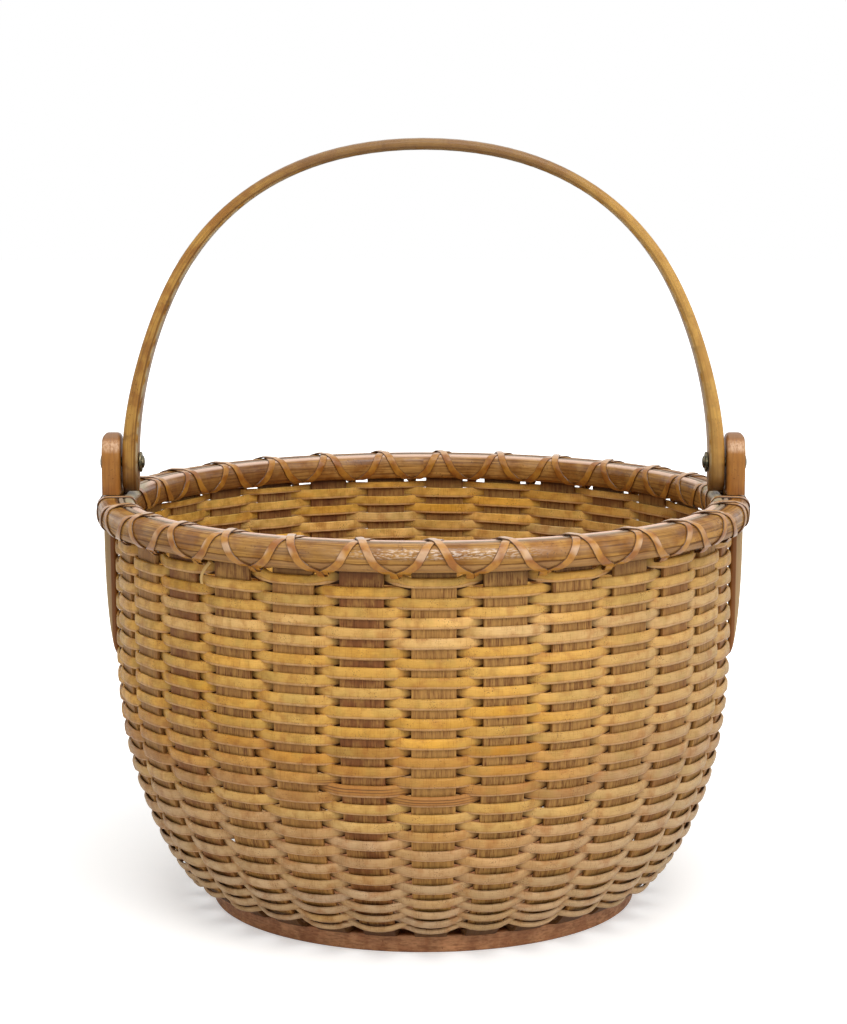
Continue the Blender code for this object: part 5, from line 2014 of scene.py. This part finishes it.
    def build(self) -> None:
        """Winds the four strands."""
        material = LashingFinish(top=self.measures.rim_top).material()
        for word, start, turns, end, way in self.runs():
            shift = self.back_shift / self.measures.wall_radius if word.startswith("back") else 0.0
            start, end = start + shift, end + shift
            path = []
            crossings = []
            for turn in range(turns):
                under = turn * self.whole
                path += self.stave_wrap(under, start + way * turn * self.measures.pitch, way)
                crossings += [under, under + self.top]
            last_gap = start + way * turns * self.measures.pitch
            path += self.ear_wrap(turns * self.whole, last_gap, end, way)
            path.append(((turns + 1) * self.whole - self.end_gap, end))
            piece = self.strand(f"bound_strand_{word}", path, crossings, raised=way < 0)
            settle(piece, Body.BASKET, "lashing_cane", material, f"lashing_{word}")


@dataclass(frozen=True)
class LashingFinish:
    """Thin glossy cane, orange brown, with darker edges and painted glints on the front strands."""

    name: str = "lashing_cane"
    light: Colour = (0.47, 0.215, 0.032)
    dark: Colour = (0.30, 0.105, 0.016)
    glint: Colour = (0.80, 0.60, 0.42)
    edge: Colour = (0.06, 0.022, 0.008)
    worn: Colour = (0.62, 0.39, 0.22)
    top: float = 0.0
    roughness: float = 0.3
    coat: float = 0.55
    coat_roughness: float = 0.13
    half_width: float = 0.00155

    def material(self) -> Material:
        """Draws the material."""
        made = Finish(self.name, self.roughness, self.coat, self.coat_roughness, specular=0.12)
        place = made.on_length()
        fibres = made.effect(Effect.STREAKS, Place=place, Streaks=2400.0, Stretch=30.0, Sharpness=0.3)
        clouds = made.mask(Effect.BLOTCHES, Place=place, Size=0.007, Low=0.4, High=0.62)
        across, _, _ = made.parts(place)
        _, back, height = made.parts(made.on_object())
        tone = made.mix(clouds, self.light, self.dark)
        tone = made.over(tone, self.dark, fibres.outputs[0], 0.35)
        upper = made.ease(height, self.top + 0.0001, self.top + 0.0008, 0.0, 0.65)
        tone = made.over(tone, self.worn, upper)
        # Painted glints on the front strands, a little below the rim's top.
        band = made.band(height, self.top - 0.0036, 0.0026)
        gleam = made.ease(made.noise(made.on_object(), 170.0, detail=0), 0.38, 0.66)
        front = made.ease(back, -0.06, -0.1, 0.0, 0.42)
        tone = made.over(tone, self.glint, band, gleam, front)
        side = made.maths("ABSOLUTE", across)
        rim = made.ease(side, self.half_width * 0.82, self.half_width * 0.96)
        tone = made.over(tone, self.edge, rim, 0.8)
        return made.finish(tone, None, fibres.outputs["Height"], depth=0.00008)


@dataclass
class Rivets:
    """The brass rivets that carry the handle, and the burrs under their peened ends."""

    measures: Measures
    radius: float = 0.0016
    head_radius: float = 0.0032
    head_height: float = 0.0011
    peen_radius: float = 0.0025
    peen_height: float = 0.0008
    burr_radius: float = 0.004
    burr_edge: float = 0.0003
    steps: int = 32

    def rivet_profile(self) -> list[Pair]:
        """A rivet from its domed head to its peened end, as (radius, distance along X)."""
        head = self.measures.rivet_high.x
        seat = head - self.head_height
        end = self.measures.rivet_low.x
        peen = end + self.peen_height
        turns = np.linspace(0, math.pi / 2, 7)
        dome = [(self.head_radius * math.sin(a), seat + self.head_height * math.cos(a)) for a in turns]
        blunt = [(self.peen_radius * math.cos(a), peen - self.peen_height * math.sin(a)) for a in turns]
        return dome + [(self.radius, seat), (self.radius, peen)] + blunt

    def burr_profile(self) -> list[Pair]:
        """A burr's section, a flat ring with its outer edge eased."""
        low, high = self.measures.burr_low.x, self.measures.burr_high.x
        inner = self.radius + GAP
        return [
            (self.burr_radius, high - self.burr_edge), (self.burr_radius, low + self.burr_edge),
            (self.burr_radius - self.burr_edge, low), (inner, low),
            (inner, high), (self.burr_radius - self.burr_edge, high),
        ]

    def build(self) -> None:
        """Sets both rivets and their burrs."""
        material = MetalFinish().material()
        for side in Side:
            rivet = turned(f"domed_rivet_{side.word}", self.rivet_profile(), self.steps)
            burr = turned(f"flat_burr_{side.word}", self.burr_profile(), self.steps, closed=True)
            for piece, node in ((rivet, "rivet"), (burr, "burr")):
                piece.rotation_euler = (0, side.value * math.pi / 2, 0)
                piece.location.z = self.measures.pivot_height
                take(piece)
                bpy.ops.object.transform_apply(location=True, rotation=True, scale=True)
                settle(piece, Body.BASKET, "rivet_metal", material, f"{node}_{side.word}")


@dataclass(frozen=True)
class Lamp:
    """A square soft light, with its size, its power in watts and its place."""

    name: str
    size: float
    power: float
    place: tuple[float, float, float]


@dataclass
class Studio:
    """The camera as the photograph has it, a white floor and soft plain light."""

    distance: float = 1.083
    eye_height: float = 0.3192
    dip: float = math.radians(8.73)
    frame_height: int = 1024
    focal_pixels: float = 2788
    sensor: float = 36.0
    surroundings: Colour = (0.42, 0.42, 0.42)
    white: Colour = (1.0, 1.0, 1.0)
    floor_size: float = 8
    floor_colour: Colour = (0.78, 0.78, 0.77)
    floor_roughness: float = 0.9
    glow_reach: Pair = (0.16, 0.45)
    glow: Pair = (0.4, 1.0)
    aim_height: float = 0.12
    lamps: tuple[Lamp, ...] = (
        Lamp("key", 1.3, 19, (0.3, -1.2, 1.5)),
        Lamp("top", 2.2, 17, (0.0, 0.1, 1.8)),
        Lamp("fill", 1.4, 3, (-1.2, -1.3, 0.9)),
        Lamp("side", 1.4, 8, (1.3, -1.2, 0.9)),
    )

    def camera(self) -> None:
        """Sets up the camera."""
        lens = bpy.data.cameras.new("camera")
        lens.sensor_width = self.sensor
        lens.lens = self.focal_pixels / self.frame_height * self.sensor
        eye = bpy.data.objects.new("camera", lens)
        eye.location = (0, -self.distance, self.eye_height)
        eye.rotation_euler = (math.pi / 2 - self.dip, 0, 0)
        bpy.context.scene.collection.objects.link(eye)
        bpy.context.scene.camera = eye

    def world(self) -> None:
        """White behind the object, and an even soft light on it."""
        world = bpy.data.worlds.new("studio")
        bpy.context.scene.world = world
        world.use_nodes = True
        graph = Graph(world.node_tree)
        rays = graph.add("LightPath").outputs
        seen = graph.maths("ADD", rays["Is Camera Ray"], rays["Is Transmission Ray"])
        seen = graph.maths("ADD", seen, rays["Is Glossy Ray"], clamp=True)
        shader = world.node_tree.nodes["Background"]
        graph.feed(shader.inputs["Color"], graph.mix(seen, self.surroundings, self.white))

    def floor(self) -> None:
        """A pale floor that the camera sees as white but for the basket's shadow."""
        deselect_all()
        bpy.ops.mesh.primitive_plane_add(size=self.floor_size)
        floor = bpy.context.object
        floor.name = "floor"
        made = Finish("floor", self.floor_roughness, specular=0.0)
        glow = made.ease(made.measure("LENGTH", made.on_object()), *self.glow_reach, *self.glow)
        lift = made.times(made.add("LightPath").outputs["Is Camera Ray"], glow)
        made.feed(made.shader.inputs["Emission Color"], self.white)
        made.feed(made.shader.inputs["Emission Strength"], lift)
        floor.data.materials.append(made.finish(self.floor_colour))

    def light(self, lamp: Lamp) -> None:
        """Hangs a lamp so that it looks at the middle of the basket."""
        light = bpy.data.lights.new(lamp.name, "AREA")
        light.shape = "SQUARE"
        light.size = lamp.size
        light.energy = lamp.power
        hung = bpy.data.objects.new(lamp.name, light)
        hung.location = lamp.place
        aim = Vector((0, 0, self.aim_height)) - Vector(lamp.place)
        hung.rotation_euler = aim.to_track_quat("-Z", "Y").to_euler()
        bpy.context.scene.collection.objects.link(hung)

    def build(self) -> None:
        """Sets up the view, the stage and the light."""
        self.camera()
        self.world()
        self.floor()
        for lamp in self.lamps:
            self.light(lamp)
        bpy.context.scene.view_settings.view_transform = "Standard"


def main() -> None:
    """Builds the basket piece by piece and sets up the studio."""
    logging.basicConfig(level=logging.INFO, format="%(message)s")
    measures = Measures()
    Studio().build()
    curve = SideCurve(measures)
    staves = Staves(measures, curve)
    staves.build()
    Weave(measures, curve, staves).build()
    LooseEnd(measures).build()
    TurnedBase(measures).build()
    hoops = Hoops(measures)
    hoops.build()
    Lashing(measures, hoops).build()
    Handle(measures).build()
    ear_wood = EarFinish(
        "ear_wood",
        light=(0.43, 0.185, 0.035), middle=(0.33, 0.125, 0.022), dark=(0.10, 0.032, 0.010),
        roughness=0.34, streaks=1500.0, stretch=25.0, contrast=0.5, coat=0.15,
        top=measures.ear_high.z, ledge=measures.rim_bottom,
    ).material()
    for side in Side:
        Ear(measures, side).build(ear_wood)
    Rivets(measures).build()


if __name__ == "__main__":
    main()
